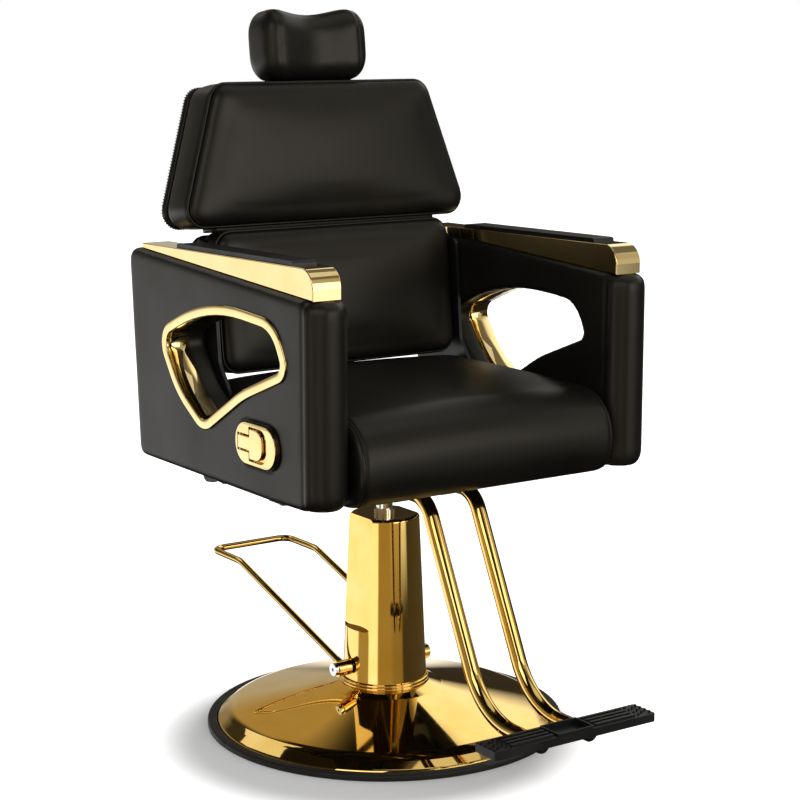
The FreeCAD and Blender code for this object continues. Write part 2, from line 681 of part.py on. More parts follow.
def make_ram():
    node(cylinder("ram_rod", "ram_radius", "ram_top - piston_low - piston_thick", "piston_low + piston_thick"),
         "ram_rod")
    node(cylinder("ram_piston", "cylinder_bore - fit", "piston_thick", "piston_low"), "ram_piston")
    for name, low, thick, radius in (
            ("ram_collar", "collar_height", "shoulder_thick", "shoulder_radius"),
            ("thrust_bearing", "collar_height + shoulder_thick", "bearing_thick", "bearing_radius")):
        ring = cylinder(name + "_disc", radius, thick, low)
        bore = cylinder(name + "_bore", "ram_radius + fit", f"{thick} + 2 * over", f"{low} - over")
        node(cut(name, ring, bore), name)


def make_seat_frame():
    hub = cylinder("hub_round", "hub_radius", "hub_tall", "bearing_top")
    bore = cylinder("hub_bore", "ram_radius + fit", "ram_top + head_room - bearing_top", "bearing_top")
    node(cut("seat_hub", hub, bore), "seat_hub")

    plate = new_body("seat_plate")
    sketch = sketch_on(plate, "plate_outline", "XY", "plate_under")
    outline(sketch, box_corners("-seat_plate_half", "seat_plate_half", "seat_plate_front",
                                "seat_plate_rear", "seat_plate_corner"))
    pad(plate, sketch, "seat_plate_thick")
    node(plate, "seat_plate")

    for name, front in (("cross_bar_front", "bar_front"), ("cross_bar_rear", "bar_rear")):
        flat = block(name + "_flat", ("-bar_half", "bar_half"), (front, f"{front} + bar_wide"),
                     ("arm_low - bar_thick", "arm_low"))
        holes = [cylinder(f"{name}_hole_{side}", "bolt_radius + fit", "3 * bar_thick",
                          "arm_low - 2 * bar_thick", f"{sign} * arm_middle",
                          f"{front} + bar_wide / 2") for side, sign in SIDES.items()]
        node(cut(name, flat, *holes), name)

    board = new_body("seat_board")
    sketch = sketch_on(board, "board_outline", "XY", "arm_low")
    notch = "seat_half_rear"
    outline(sketch, [("-arm_inner", "board_front"), ("arm_inner", "board_front"),
                     ("arm_inner", "notch_front"), (notch, "notch_front", "notch_round"),
                     (notch, "board_rear", "board_round"), (f"-{notch}", "board_rear", "board_round"),
                     (f"-{notch}", "notch_front", "notch_round"),
                     ("-arm_inner", "notch_front")])
    pad(board, sketch, "board_thick")
    node(board, "seat_board")


# Steps round the end of a cushion: distance from the end and draw-in, in shares of the rounding
END_STEPS = ((0, 1), (0.234, 0.357), (0.658, 0.06), (1, 0))


def cushion_steps(start, length, rounding):
    """Places along a cushion, each with its draw-in and its share of the crown"""
    shares = [(f"({distance} * {rounding} / {length})", f"{inset} * {rounding}")
              for distance, inset in END_STEPS]
    shares += [("0.25", "0"), ("0.5", "0")]
    shares += [(f"(1 - {share})", inset) for share, inset in reversed(shares[:-1])]
    return [(f"{start} + {length} * {share}", inset, f"(0.05 + 3.8 * {share} * (1 - {share}))", share)
            for share, inset in shares]


def make_seat_cushion():
    """Side views from one end to the other, crowned between"""
    under = "board_top + gap"
    roll_rear = "board_front - 5 * gap"
    stations = []
    for where, inset, crown, share in cushion_steps("-seat_half", "(2 * seat_half)", "cushion_round"):
        top = f"seat_top + seat_crown * {crown} - {inset}"
        stations.append((where, [
            (f"seat_rear - {inset}", under, "cushion_corner"),
            (f"seat_rear - {inset}", top, "seat_tail"), ("0", top, "20 * seat_half"),
            (f"seat_front + {inset}", f"{top} - seat_crown / 4", "seat_round"),
            (f"seat_front + {inset}", f"seat_roll_low + {inset} / 2", "seat_fold"),
            (roll_rear, f"seat_roll_low + {inset} / 2"), (roll_rear, under)]))
    body = new_body("seat_cushion_form")
    loft(body, "YZ", stations, "seat_loft")
    relief = sketch_on(body, "relief_outline", "XY", "arm_low")
    for sign in SIDES.values():
        outline(relief, box_corners(*side_range(sign, "seat_half_rear", "seat_half + over"), "notch_front",
                                    "seat_rear + over"))
    pocket(body, relief, "2 * seat_thick", "relief", reverse=True)
    node(body, "seat_cushion")


def on_slope(along, front, front_height, rear, rear_height):
    """Height at a place along a straight slope"""
    return f"({front_height} + ({rear_height} - {front_height}) * (({along}) - {front}) / ({rear} - {front}))"


def arm_top(along):
    return on_slope(along, "arm_front", "arm_top_front", "arm_rear_top", "arm_top_rear")


def cap_top(along):
    return on_slope(along, "cap_front", "cap_top_front", "cap_rear", "cap_top_rear")


def window_outline():
    sketch = doc.addObject("Sketcher::SketchObject", "window_outline")
    sketch.Placement = Placement(Vector(), Rotation(Vector(1, 1, 1), 120))
    return outline(sketch, [
        ("window_rear", "arm_low + window_rear_rise", "window_corner"),
        ("window_bend", "arm_low + window_bend_rise", "window_bend_round"),
        ("window_tip", "arm_low + window_tip_rise", "window_corner"),
        ("window_bow", "arm_low + window_bow_rise", "window_bow_round"),
        ("window_front", "arm_low + window_front_rise", "window_corner * 0.6"),
        ("window_brow", "arm_low + window_brow_rise", "window_brow_round"),
        ("0", "arm_low + window_top_rise", "window_top_round")])


def window_prism(name, grown, inner, outer):
    """The window outline, grown outwards and drawn out along X"""
    base = WINDOW
    if grown:
        base = doc.addObject("Part::Offset2D", name + "_outline")
        base.Source = WINDOW
        bind(base, Value=grown)
    prism = doc.addObject("Part::Extrusion", name)
    prism.Base = base
    prism.DirMode = "Custom"
    prism.Dir = Vector(1, 0, 0)
    prism.Solid = True
    return bind(prism, LengthFwd=f"({outer}) - ({inner})", Placement__Base__x=inner)


def make_arm(side, sign):
    low, high = side_range(sign, "arm_inner", "arm_outer")
    form = new_body(f"arm_form_{side}")
    plan = sketch_on(form, "plan", "XY", "arm_low")
    outline(plan, [(low, "arm_front", "arm_roll"), (high, "arm_front", "arm_roll"),
                   (high, "arm_rear_top + over"), (low, "arm_rear_top + over")])
    pad(form, plan, "arm_top_rear + over - arm_low")
    view = sketch_on(form, "side_view", "YZ", low)
    outline(view, box_corners("arm_front - 3 * over", "arm_rear_top + 3 * over",
                              "arm_low - 3 * over", "arm_top_rear + 3 * over"))
    outline(view, [("arm_front - over", "arm_low + arm_toe"), ("bar_front", "arm_low"),
                   ("bar_rear + bar_wide", "arm_low"), ("arm_rear_low", "arm_low - arm_heel", "arm_corner"),
                   ("arm_rear_top", arm_top("arm_rear_top"), "arm_corner"),
                   ("arm_front - over", arm_top("arm_front - over"))])
    pocket(form, view, "arm_thick", reverse=True)
    doc.recompute()
    fillet(form, "arm_round", lambda edge: True)
    rebate = side_range(sign, "arm_outer - trim_deep - gap", "arm_outer + over")
    tools = [window_prism(f"window_cut_{side}", None, f"{low} - over", f"{high} + over"),
             window_prism(f"window_rebate_{side}", "trim_wall + gap", *rebate)]
    pin_range = side_range(sign, "arm_inner - over", "arm_inner + pin_deep + gap")
    tools.append(rod_across(f"arm_pin_bore_{side}", "pin_radius + fit", *pin_range, "pin_place", "pin_height"))
    middle = f"{sign} * arm_middle"
    for index, along in enumerate(("bar_front + bar_wide / 2", "bar_rear + bar_wide / 2")):
        tools.append(cylinder(f"arm_bolt_bore_{side}_{index}", "bolt_radius + fit", "bolt_long + over",
                              "arm_low - over", middle, along))
        head = cylinder(f"bolt_head_{side}_{index}", "bolt_head", "bolt_head_thick",
                        "arm_low - bar_thick - bolt_head_thick", middle, along)
        shank = cylinder(f"bolt_shank_{side}_{index}", "bolt_radius", "bolt_long",
                         "arm_low - bar_thick", middle, along)
        node(fuse(f"arm_bolt_{side}_{index + 1}", head, shank), f"arm_bolt_{side}_{index + 1}")
    node(cut(f"arm_{side}", form, *tools), f"arm_{side}")

    flange_range = side_range(sign, "arm_outer", "arm_outer + trim_proud")
    flange = window_prism(f"trim_flange_{side}", "trim_flange", *flange_range)
    liner_range = side_range(sign, "arm_outer - trim_deep", "arm_outer + trim_proud")
    liner = window_prism(f"trim_liner_{side}", "trim_wall", *liner_range)
    bore = window_prism(f"trim_bore_{side}", None, f"{low} - over", f"{high} + over")
    node(cut(f"window_trim_{side}", fuse(f"trim_solid_{side}", flange, liner), bore), f"window_trim_{side}")

    cap = new_body(f"arm_cap_{side}")
    view = sketch_on(cap, "cap_view", "YZ", f"{middle} - cap_wide / 2")
    outline(view, [("cap_rear", arm_top("cap_rear")), ("cap_rear", "cap_top_rear"),
                   ("cap_front", "cap_top_front", "cap_round"), ("cap_front", arm_top("cap_front"))])
    pad(cap, view, "cap_wide")
    fillet(cap, "cap_edge", lambda edge: edge.BoundBox.XLength < value("cap_edge"))
    node(cap, f"arm_cap_{side}")

    rest = new_body(f"arm_pad_{side}")
    view = sketch_on(rest, "pad_view", "YZ", f"{middle} - pad_wide / 2")
    front, rear = cap_top("pad_front"), cap_top("pad_rear")
    outline(view, [("pad_rear", rear), ("pad_rear", f"{rear} + pad_thick", "pad_round"),
                   ("pad_front", f"{front} + pad_thick", "pad_round"), ("pad_front", front)])
    pad(rest, view, "pad_wide")
    node(rest, f"arm_pad_{side}")

    head_range = side_range(sign, "recline_inner - pin_head_thick - gap", "recline_inner - gap")
    head = rod_across(f"pin_head_{side}", "pin_head", *head_range, "pin_place", "pin_height")
    shank_range = side_range(sign, "recline_inner - gap - pin_head_thick / 2", "arm_inner + pin_deep")
    shank = rod_across(f"pin_shank_{side}", "pin_radius", *shank_range, "pin_place", "pin_height")
    shoulder_range = side_range(sign, "recline_inner + recline_thick + gap", "arm_inner")
    shoulder = rod_across(f"pin_shoulder_{side}", "pin_head", *shoulder_range, "pin_place", "pin_height")
    node(fuse(f"recline_pin_{side}", head, shank, shoulder), f"recline_pin_{side}")


def paddle_corners(grown, slot="0"):
    """A round fronted paddle with a narrow hinge tab behind it"""
    return [(f"tab_rear + {grown}", f"latch_height - tab_half_tall - {grown}", "tab_round"),
            (f"tab_rear + {grown}", f"latch_height + tab_half_tall + {grown}", "tab_round"),
            (f"paddle_rear + {grown}", f"latch_height + tab_half_tall + {grown}"),
            (f"paddle_rear + {grown}", f"latch_height + paddle_half_tall + {grown}", "paddle_neck"),
            (f"paddle_front - {grown} - {slot}", f"latch_height + paddle_half_tall + {grown}", "paddle_round"),
            (f"paddle_front - {grown} - {slot}", f"latch_height - paddle_half_tall - {grown}", "paddle_round"),
            (f"paddle_rear + {grown}", f"latch_height - paddle_half_tall - {grown}", "paddle_neck"),
            (f"paddle_rear + {grown}", f"latch_height - tab_half_tall - {grown}")]


def make_latch():
    """A flush paddle on the outside of the right arm"""
    plate = new_body("latch_plate_form")
    sketch = sketch_on(plate, "plate_outline", "YZ", "-arm_outer - latch_thick")
    outline(sketch, box_corners("latch_middle - latch_half_long", "latch_middle + latch_half_long",
                                "latch_height - latch_half_tall", "latch_height + latch_half_tall",
                                "latch_half_tall * 0.97"))
    pad(plate, sketch, "latch_thick")
    recess = sketch_on(plate, "recess_outline", "YZ", "-arm_outer - latch_thick")
    outline(recess, paddle_corners("paddle_gap", "finger_gap"))
    pocket(plate, recess, "latch_thick - latch_floor", reverse=True)
    axis_x = "-arm_outer - latch_thick + 0.35 * paddle_thick"
    pin_half = "tab_half_tall + hinge_reach"
    pin_low = f"latch_height - ({pin_half})"
    bore = cylinder("latch_pin_bore", "hinge_radius + fit / 2", f"2 * ({pin_half})", pin_low, axis_x,
                    "hinge_place")
    node(cut("latch_plate", plate, bore), "latch_plate")
    pin = cylinder("latch_pin", "hinge_radius", f"2 * ({pin_half})", pin_low, axis_x, "hinge_place")
    node(pin, "latch_pin")
    paddle = new_body("latch_paddle_form")
    sketch = sketch_on(paddle, "paddle_outline", "YZ", f"{axis_x} - paddle_thick / 2")
    outline(sketch, paddle_corners("0"))
    pad(paddle, sketch, "paddle_thick")
    hole = cylinder("latch_paddle_bore", "hinge_radius + fit", "4 * tab_half_tall",
                    "latch_height - 2 * tab_half_tall", axis_x, "hinge_place")
    node(cut("latch_paddle", paddle, hole), "latch_paddle")


def make_footrest():
    height = "tube_height"
    route = [("tube_start", height), ("tube_shoulder", height, "shoulder_bend"),
             ("tube_knee", "tube_low", "knee_bend"), ("tube_end", "tube_low")]
    for side, sign in SIDES.items():
        tube = new_body(f"footrest_tube_{side}")
        pipe(tube, "YZ", f"{sign} * tube_place", route, "tube_radius", "tube_wall")
        node(tube, f"footrest_tube_{side}")

        clamp = block(f"clamp_block_{side}",
                      (f"{sign} * tube_place - clamp_half", f"{sign} * tube_place + clamp_half"),
                      ("seat_plate_front + clamp_set", "seat_plate_front + clamp_set + clamp_long"),
                      (f"{height} - tube_radius - clamp_under", "plate_under"))
        bore = doc.addObject("Part::Cylinder", f"clamp_bore_{side}")
        bore.Placement = Placement(Vector(), Rotation(Vector(1, 0, 0), -90))
        bind(bore, Radius="tube_radius + fit", Height="clamp_long + 2 * over",
             Placement__Base__x=f"{sign} * tube_place", Placement__Base__z=height,
             Placement__Base__y="seat_plate_front + clamp_set - over")
        node(cut(f"footrest_clamp_{side}", clamp, bore), f"footrest_clamp_{side}")

        cap = new_body(f"tube_cap_{side}")
        turned(cap, [("0", "-tube_cap_deep"), ("tube_radius - tube_wall - fit", "-tube_cap_deep"),
                     ("tube_radius - tube_wall - fit", "0"), ("tube_radius", "0"),
                     ("tube_radius", "tube_cap_tall", "tube_cap_tall * 0.85"), ("0", "tube_cap_tall")])
        cap.Placement = Placement(Vector(), Rotation(Vector(1, 0, 0), 90))
        bind(cap, Placement__Base__x=f"{sign} * tube_place", Placement__Base__y="tube_end",
             Placement__Base__z="tube_low")
        node(cap, f"tube_cap_{side}")


def row_of(body, feature, sketch, length, count):
    """Repeats a feature along the vertical axis of its sketch"""
    pattern = body.newObject("PartDesign::LinearPattern", feature.Name + "_row")
    pattern.Originals = [feature]
    pattern.Direction = (sketch, ["V_Axis"])
    pattern.Occurrences = count
    bind(pattern, Length=length)
    body.Tip = pattern


def make_footplate():
    """A plate with a walled recess between two sets of ribs, and studded ends"""
    plate = new_body("footplate_form")
    under = "foot_low"
    middle = "(foot_front + foot_rear) / 2"
    sketch = sketch_on(plate, "plate_outline", "XY", under)
    outline(sketch, box_corners("-foot_half", "foot_half", "foot_front", "foot_rear", "foot_corner"))
    pad(plate, sketch, "foot_thick", "plate_pad")
    rim = ("foot_front + rim_set", "foot_rear - rim_set")
    floor = box_corners("-recess_half", "recess_half", f"{rim[0]} + recess_wall", f"{rim[1]} - recess_wall",
                        "foot_corner / 2")
    wall = sketch_on(plate, "wall_outline", "XY", f"{under} + foot_thick")
    outline(wall, box_corners("-recess_half - recess_wall", "recess_half + recess_wall", *rim,
                              "foot_corner * 0.75"))
    outline(wall, floor)
    pad(plate, wall, "rib_tall", "wall_pad")
    recess = sketch_on(plate, "recess_outline", "XY", f"{under} + foot_thick")
    outline(recess, floor)
    pocket(plate, recess, "foot_thick / 2", "recess")

    ribs = sketch_on(plate, "rib_outline", "XY", f"{under} + foot_thick")
    first = f"{middle} - 1.5 * rib_pitch"
    for sign in SIDES.values():
        ends = side_range(sign, "recess_half + recess_wall + rib_wide", "foot_half - grip_long")
        outline(ribs, box_corners(*ends, f"{first} - rib_wide / 2", f"{first} + rib_wide / 2",
                                  "rib_wide * 0.3"))
    row_of(plate, pad(plate, ribs, "rib_tall", "ribs"), ribs, "3 * rib_pitch", 4)
    for name, columns, rows in (("outer_studs", (0, 2), 4), ("inner_studs", (1,), 3)):
        studs = sketch_on(plate, name + "_outline", "XY", f"{under} + foot_thick")
        for sign in SIDES.values():
            for column in columns:
                across = f"{sign} * (foot_half - rib_wide - {column} * (grip_long - 2 * rib_wide) / 2.2)"
                circle(studs, "stud_radius", across, f"{middle} - {rows - 1} * rib_pitch / 2")
        row_of(plate, pad(plate, studs, "rib_tall", name), studs, f"{rows - 1} * rib_pitch", rows)
    grooves = []
    for side, sign in SIDES.items():
        groove = doc.addObject("Part::Cylinder", f"foot_groove_{side}")
        groove.Placement = Placement(Vector(), Rotation(Vector(1, 0, 0), -90))
        start = "tube_end - tube_cap_tall - gap"
        grooves.append(bind(groove, Radius="tube_radius + fit", Height=f"foot_rear + over - ({start})",
                            Placement__Base__x=f"{sign} * tube_place", Placement__Base__y=start,
                            Placement__Base__z="tube_low"))
    node(cut("footplate", plate, *grooves), "footplate")


# Backrest, drawn upright from its lower front edge and then leaned back

def plank(name, x_range, y_range, z_range):
    """A straight bar as a body, so that it can be leaned back"""
    body = new_body(name)
    outline(sketch_on(body, "plank_outline", "XY", z_range[0]), box_corners(*x_range, *y_range))
    pad(body, body.Group[-1], f"({z_range[1]}) - ({z_range[0]})")
    return body


def lean_back(thing):
    thing.Placement = Placement(Vector(), Rotation(Vector(-1, 0, 0), 1))
    return bind(thing, Placement__Rotation__Angle="back_lean", Placement__Base__y="back_place",
                Placement__Base__z="back_height")


def along_back(place_text, height_text):
    """A place and height of the chair, seen along the backrest"""
    ahead = f"(({place_text}) - back_place)"
    up = f"(({height_text}) - back_height)"
    return (f"({ahead} * cos(back_lean) - {up} * sin(back_lean))",
            f"({ahead} * sin(back_lean) + {up} * cos(back_lean))")


def leaned(name, base, *tools):
    """Cuts the tools from the base and leans the result back with the backrest"""
    return node(lean_back(cut(name, base, *tools) if tools else base), name)


def make_recline():
    pin_y, pin_z = along_back("pin_place", "pin_height")
    tie_y, tie_z = along_back("tie_place", "tie_height")
    head = "lower_tall - recline_head"
    for side, sign in SIDES.items():
        low, high = side_range(sign, "recline_inner", "recline_inner + recline_thick")
        bar = new_body(f"recline_form_{side}")
        sketch = sketch_on(bar, "bar_outline", "YZ", low)
        rear = "board_rear_face"
        outline(sketch, [("recline_set", head, "recline_end_round"),
                         ("3 * recline_set", "recline_foot", "recline_bend"),
                         (f"{pin_y} - recline_boss * 1.4", f"{pin_z} + recline_elbow", "recline_bend"),
                         (f"{pin_y} - recline_boss", f"{pin_z} - recline_heel", "recline_bend"),
                         (f"{tie_y} - tie_boss", f"{tie_z} - tie_boss", "tie_round"),
                         (f"{tie_y} + tie_boss", f"{tie_z} - tie_boss", "tie_round"),
                         (f"{tie_y} + tie_boss", f"{tie_z} + tie_boss", "tie_round"),
                         (f"{pin_y} + recline_boss * 0.55", f"{pin_z} + recline_boss * 0.85", "tie_round"),
                         (f"{rear} + recline_hip_out", "recline_hip", "recline_bend"),
                         (f"{rear} - recline_set", "recline_waist", "recline_bend"),
                         (f"{rear} - 2 * recline_set", head, "recline_end_round")])
        circle(sketch, "pin_radius + fit", pin_y, pin_z)
        pad(bar, sketch, "recline_thick")
        leaned(f"recline_bar_{side}", bar)
    tie = rod_across("recline_tie", "tie_radius", "-recline_inner", "recline_inner", "tie_place", "tie_height")
    node(tie, "recline_tie")


def crowned_back(body, name, half_low, half_top, low, tall, front, foam, crown):
    """Plan views from foot to top, with a crowned front"""
    stations = []
    for where, inset, share_of_crown, share in cushion_steps(low, tall, "cushion_round"):
        half = f"({half_low} + {share} * ({half_top} - {half_low}) - {inset})"
        edge = f"{front} + {inset}"
        bulge = f"({crown} * {share_of_crown})"
        stations.append((where, [
            (f"-{half}", f"{front} + {foam}", "cushion_corner"), (half, f"{front} + {foam}", "cushion_corner"),
            (half, edge, "back_round"), ("0", f"{edge} - {bulge}", f"0.6 * {half} * {half} / {bulge}"),
            (f"-{half}", edge, "back_round")]))
    loft(body, "XY", stations, name)


def make_lower_back():
    cushion = new_body("lower_form")
    crowned_back(cushion, "lower_loft", "lower_half", "lower_half", "0", "lower_tall", "0", "lower_foam",
                 "lower_crown")
    leaned("lower_cushion", cushion)
    board = new_body("lower_board_form")
    sketch = sketch_on(board, "board_outline", "XZ", "-lower_foam - gap")
    outline(sketch, box_corners("-recline_inner", "recline_inner", "board_set", "lower_tall - board_set",
                                "lower_corner"))
    pad(board, sketch, "back_board_thick - gap").Reversed = True
    leaned("lower_board", board)


def make_upper_back():
    rear = "upper_rear"
    cushion = new_body("upper_form")
    crowned_back(cushion, "upper_loft", "upper_half_low", "upper_half_top", "upper_low", "upper_tall",
                 "upper_set", "upper_foam", "upper_crown")
    tools = [block("socket_room", ("-socket_half - gap", "socket_half + gap"),
                   ("slide_place - socket_wall - gap", f"{rear} + over"),
                   ("upper_top - socket_deep - gap", "upper_top + over"))]
    for side, sign in SIDES.items():
        low, high = f"{sign} * upright_place - upright_wide / 2", f"{sign} * upright_place + upright_wide / 2"
        front = "board_rear_face"
        tools.append(block(f"upright_room_{side}", (f"{low} - gap", f"{high} + gap"),
                           (f"{front} - gap", f"{rear} + over"),
                           ("upper_low - over", "upper_top - upright_down + gap")))
        upright = plank(f"upright_bar_{side}", (low, high), (front, rear),
                        ("upright_low", "upper_top - upright_down"))
        leaned(f"back_upright_{side}", upright)
    leaned("upper_cushion", cushion, *tools)

    board = new_body("upper_board_form")
    sketch = sketch_on(board, "board_outline", "XZ", f"-{rear} - gap")
    foot, top = "(upper_half_low - board_set)", "(upper_half_top - board_set)"
    outline(sketch, [(f"-{foot}", "upper_low + board_set", "upper_corner"),
                     (foot, "upper_low + board_set", "upper_corner"),
                     (top, "upper_top - board_set", "upper_corner"),
                     (f"-{top}", "upper_top - board_set", "upper_corner")])
    pad(board, sketch, "back_board_thick").Reversed = True
    leaned("upper_board", board)


def make_headrest():
    rear = "upper_rear"
    solid = block("socket_block", ("-socket_half", "socket_half"), ("slide_place - socket_wall", rear),
                  ("upper_top - socket_deep", "upper_top"))
    slot = block("socket_slot", ("-slide_half - fit", "slide_half + fit"),
                 ("slide_place - slide_thick / 2 - fit", "slide_place + slide_thick / 2 + fit"),
                 ("upper_top - slide_long - slide_spare", "upper_top + over"))
    leaned("headrest_socket", solid, slot)

    under = "(upper_top + gap)"
    bar = plank("headrest_slide", ("-slide_half", "slide_half"),
                ("slide_place - slide_thick / 2", "slide_place + slide_thick / 2"),
                (f"{under} - slide_long", f"{under} + slide_into"))
    leaned("headrest_bar", bar)

    stations = []
    for where, inset, bulge, share in cushion_steps("-head_half", "(2 * head_half)", "head_round"):
        front = f"head_front + head_hollow * {bulge} + {inset} * 0.8"
        rear = f"head_rear - {inset} * 0.8"
        top = f"{under} + head_tall - head_dip * {bulge} - {inset}"
        corner = f"head_corner - 0.4 * {inset}"
        stations.append((where, [(front, f"{under} + {inset}", corner), (rear, f"{under} + {inset}", corner),
                                 (rear, top, corner), (front, top, corner)]))
    pillow = new_body("headrest_form")
    loft(pillow, "YZ", stations, "headrest_loft")
    room = sketch_on(pillow, "bar_room", "XY", under)
    outline(room, box_corners("-slide_half - gap", "slide_half + gap", "slide_place - slide_thick / 2 - gap",
                              "slide_place + slide_thick / 2 + gap"))
    pocket(pillow, room, "slide_into + gap", reverse=True)
    leaned("headrest_cushion", pillow)


def make_pedal():
    """One bent rod with two hubs on a shaft through the pump"""
    shaft = rod_across("shaft_rod", "shaft_radius", "-shaft_half", "pedal_far + gap", "0", "pedal_height")
    near_end = "-shaft_half - shaft_head_thick"
    head = rod_across("shaft_head_round", "shaft_head", near_end, "-shaft_half", "0", "pedal_height")
    clip = rod_across("shaft_clip", "shaft_head", "pedal_far + gap", "pedal_far + gap + clip_thick",
                      "0", "pedal_height")
    centre = rod_across("shaft_centre", "head_hole", f"{near_end} - over", f"{near_end} + head_hole",
                        "0", "pedal_height")
    node(cut("pedal_shaft", fuse("shaft_solid", shaft, head, clip), centre), "pedal_shaft")

    half, bend, end = value("pedal_half"), value("pedal_bend"), value("pedal_end")
    base, rise, round_ = value("pedal_height"), value("pedal_rise"), value("pedal_corner")
    points = [Vector(-half, 0, base), Vector(-half, bend, base + rise), Vector(-half, end, base + rise),
              Vector(half, end, base + rise), Vector(half, bend, base + rise), Vector(half, 0, base)]
    radii = [0, 3 * round_, round_, round_, 3 * round_, 0]
    rod = bent_rod(points, radii, value("pedal_rod"))
    loop = doc.addObject("Part::Feature", "pedal_rod_form")
    loop.Shape = rod
    hubs = []
    for side, reach in (("left", "pedal_far"), ("right", "shaft_half - gap")):
        start, stop = side_range(SIDES[side], "column_foot_radius + pedal_gap", reach)
        hubs.append(rod_across(f"pedal_hub_{side}", "pedal_hub", start, stop, "0", "pedal_height"))
    bore = rod_across("pedal_hub_bore", "shaft_radius + fit", "-shaft_half", "shaft_half", "0", "pedal_height")
    node(cut("pedal_loop", fuse("pedal_joined", loop, *hubs), bore), "pedal_loop")


def bent_rod(points, radii, radius):
    """A round rod along straight runs and tangent bends in space"""
    edges = []
    last = points[0]
    for before, at, after, bend in zip(points, points[1:], points[2:], radii[1:]):
        back = (before - at).normalize()
        ahead = (after - at).normalize()
        half = back.getAngle(ahead) / 2
        reach = bend / math.tan(half)
        to_middle = (back + ahead).normalize()
        crown = at + to_middle * (bend / math.sin(half) - bend)
        edges.append(Part.makeLine(last, at + back * reach))
        edges.append(Part.Arc(at + back * reach, crown, at + ahead * reach).toShape())
        last = at + ahead * reach
    edges.append(Part.makeLine(last, points[-1]))
    path = Part.Wire(edges)
    section = Part.Wire(Part.makeCircle(radius, points[0], points[1] - points[0]))
    return path.makePipeShell([section], True, True)


make_base()
make_column()
make_pump()
make_ram()
make_seat_frame()
make_seat_cushion()
WINDOW = window_outline()
for side, sign in SIDES.items():
    make_arm(side, sign)
make_latch()
make_footrest()
make_footplate()
make_recline()
make_lower_back()
make_upper_back()
make_headrest()
make_pedal()
doc.recompute()

for thing in doc.Objects:
    failed = {"Invalid", "Error"} & set(thing.State)
    if failed:
        raise RuntimeError(f"{thing.Label} failed: {thing.State}")
for name, thing in NODES.items():
    if thing.Shape.isNull() or not thing.Shape.isValid():
        raise RuntimeError(f"{name} has no valid shape")
for name, thing in NODES.items():
    thing.Shape.exportStep(f"parts/{name}.step")
print(len(NODES), "sub-parts")
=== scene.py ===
import math

import bmesh
import bpy
import numpy
from mathutils import Matrix, Vector, kdtree, noise
from mathutils.bvhtree import BVHTree


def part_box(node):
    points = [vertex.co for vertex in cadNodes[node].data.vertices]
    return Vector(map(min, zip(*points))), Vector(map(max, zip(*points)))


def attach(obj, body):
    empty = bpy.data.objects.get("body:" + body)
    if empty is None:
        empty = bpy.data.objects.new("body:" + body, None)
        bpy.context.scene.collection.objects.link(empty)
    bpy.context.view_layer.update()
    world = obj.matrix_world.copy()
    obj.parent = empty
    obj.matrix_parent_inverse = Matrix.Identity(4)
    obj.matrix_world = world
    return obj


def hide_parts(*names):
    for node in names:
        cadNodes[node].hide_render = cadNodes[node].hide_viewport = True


# Looks of a hydraulic barber chair, in metres, +Z up, the sitter faces -Y and +X is the sitter's left

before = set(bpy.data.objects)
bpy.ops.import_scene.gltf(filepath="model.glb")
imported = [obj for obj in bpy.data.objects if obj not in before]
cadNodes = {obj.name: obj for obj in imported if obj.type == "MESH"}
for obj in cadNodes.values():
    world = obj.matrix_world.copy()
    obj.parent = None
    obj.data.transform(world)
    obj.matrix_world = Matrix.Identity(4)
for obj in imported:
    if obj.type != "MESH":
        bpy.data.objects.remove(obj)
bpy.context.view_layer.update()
scene = bpy.context.scene
scene.view_settings.view_transform = "Standard"
sides = {"Left": 1, "Right": -1}
print("frame loaded:", len(cadNodes), "nodes")


# Camera, floor and light

photoCamera = {
    "place": (-1.8441, -2.7445, 1.1620),
    "turn": (79.5, 0, -34.35),  # degrees
    "lens": 91.5,
    "sensor": 36,
}

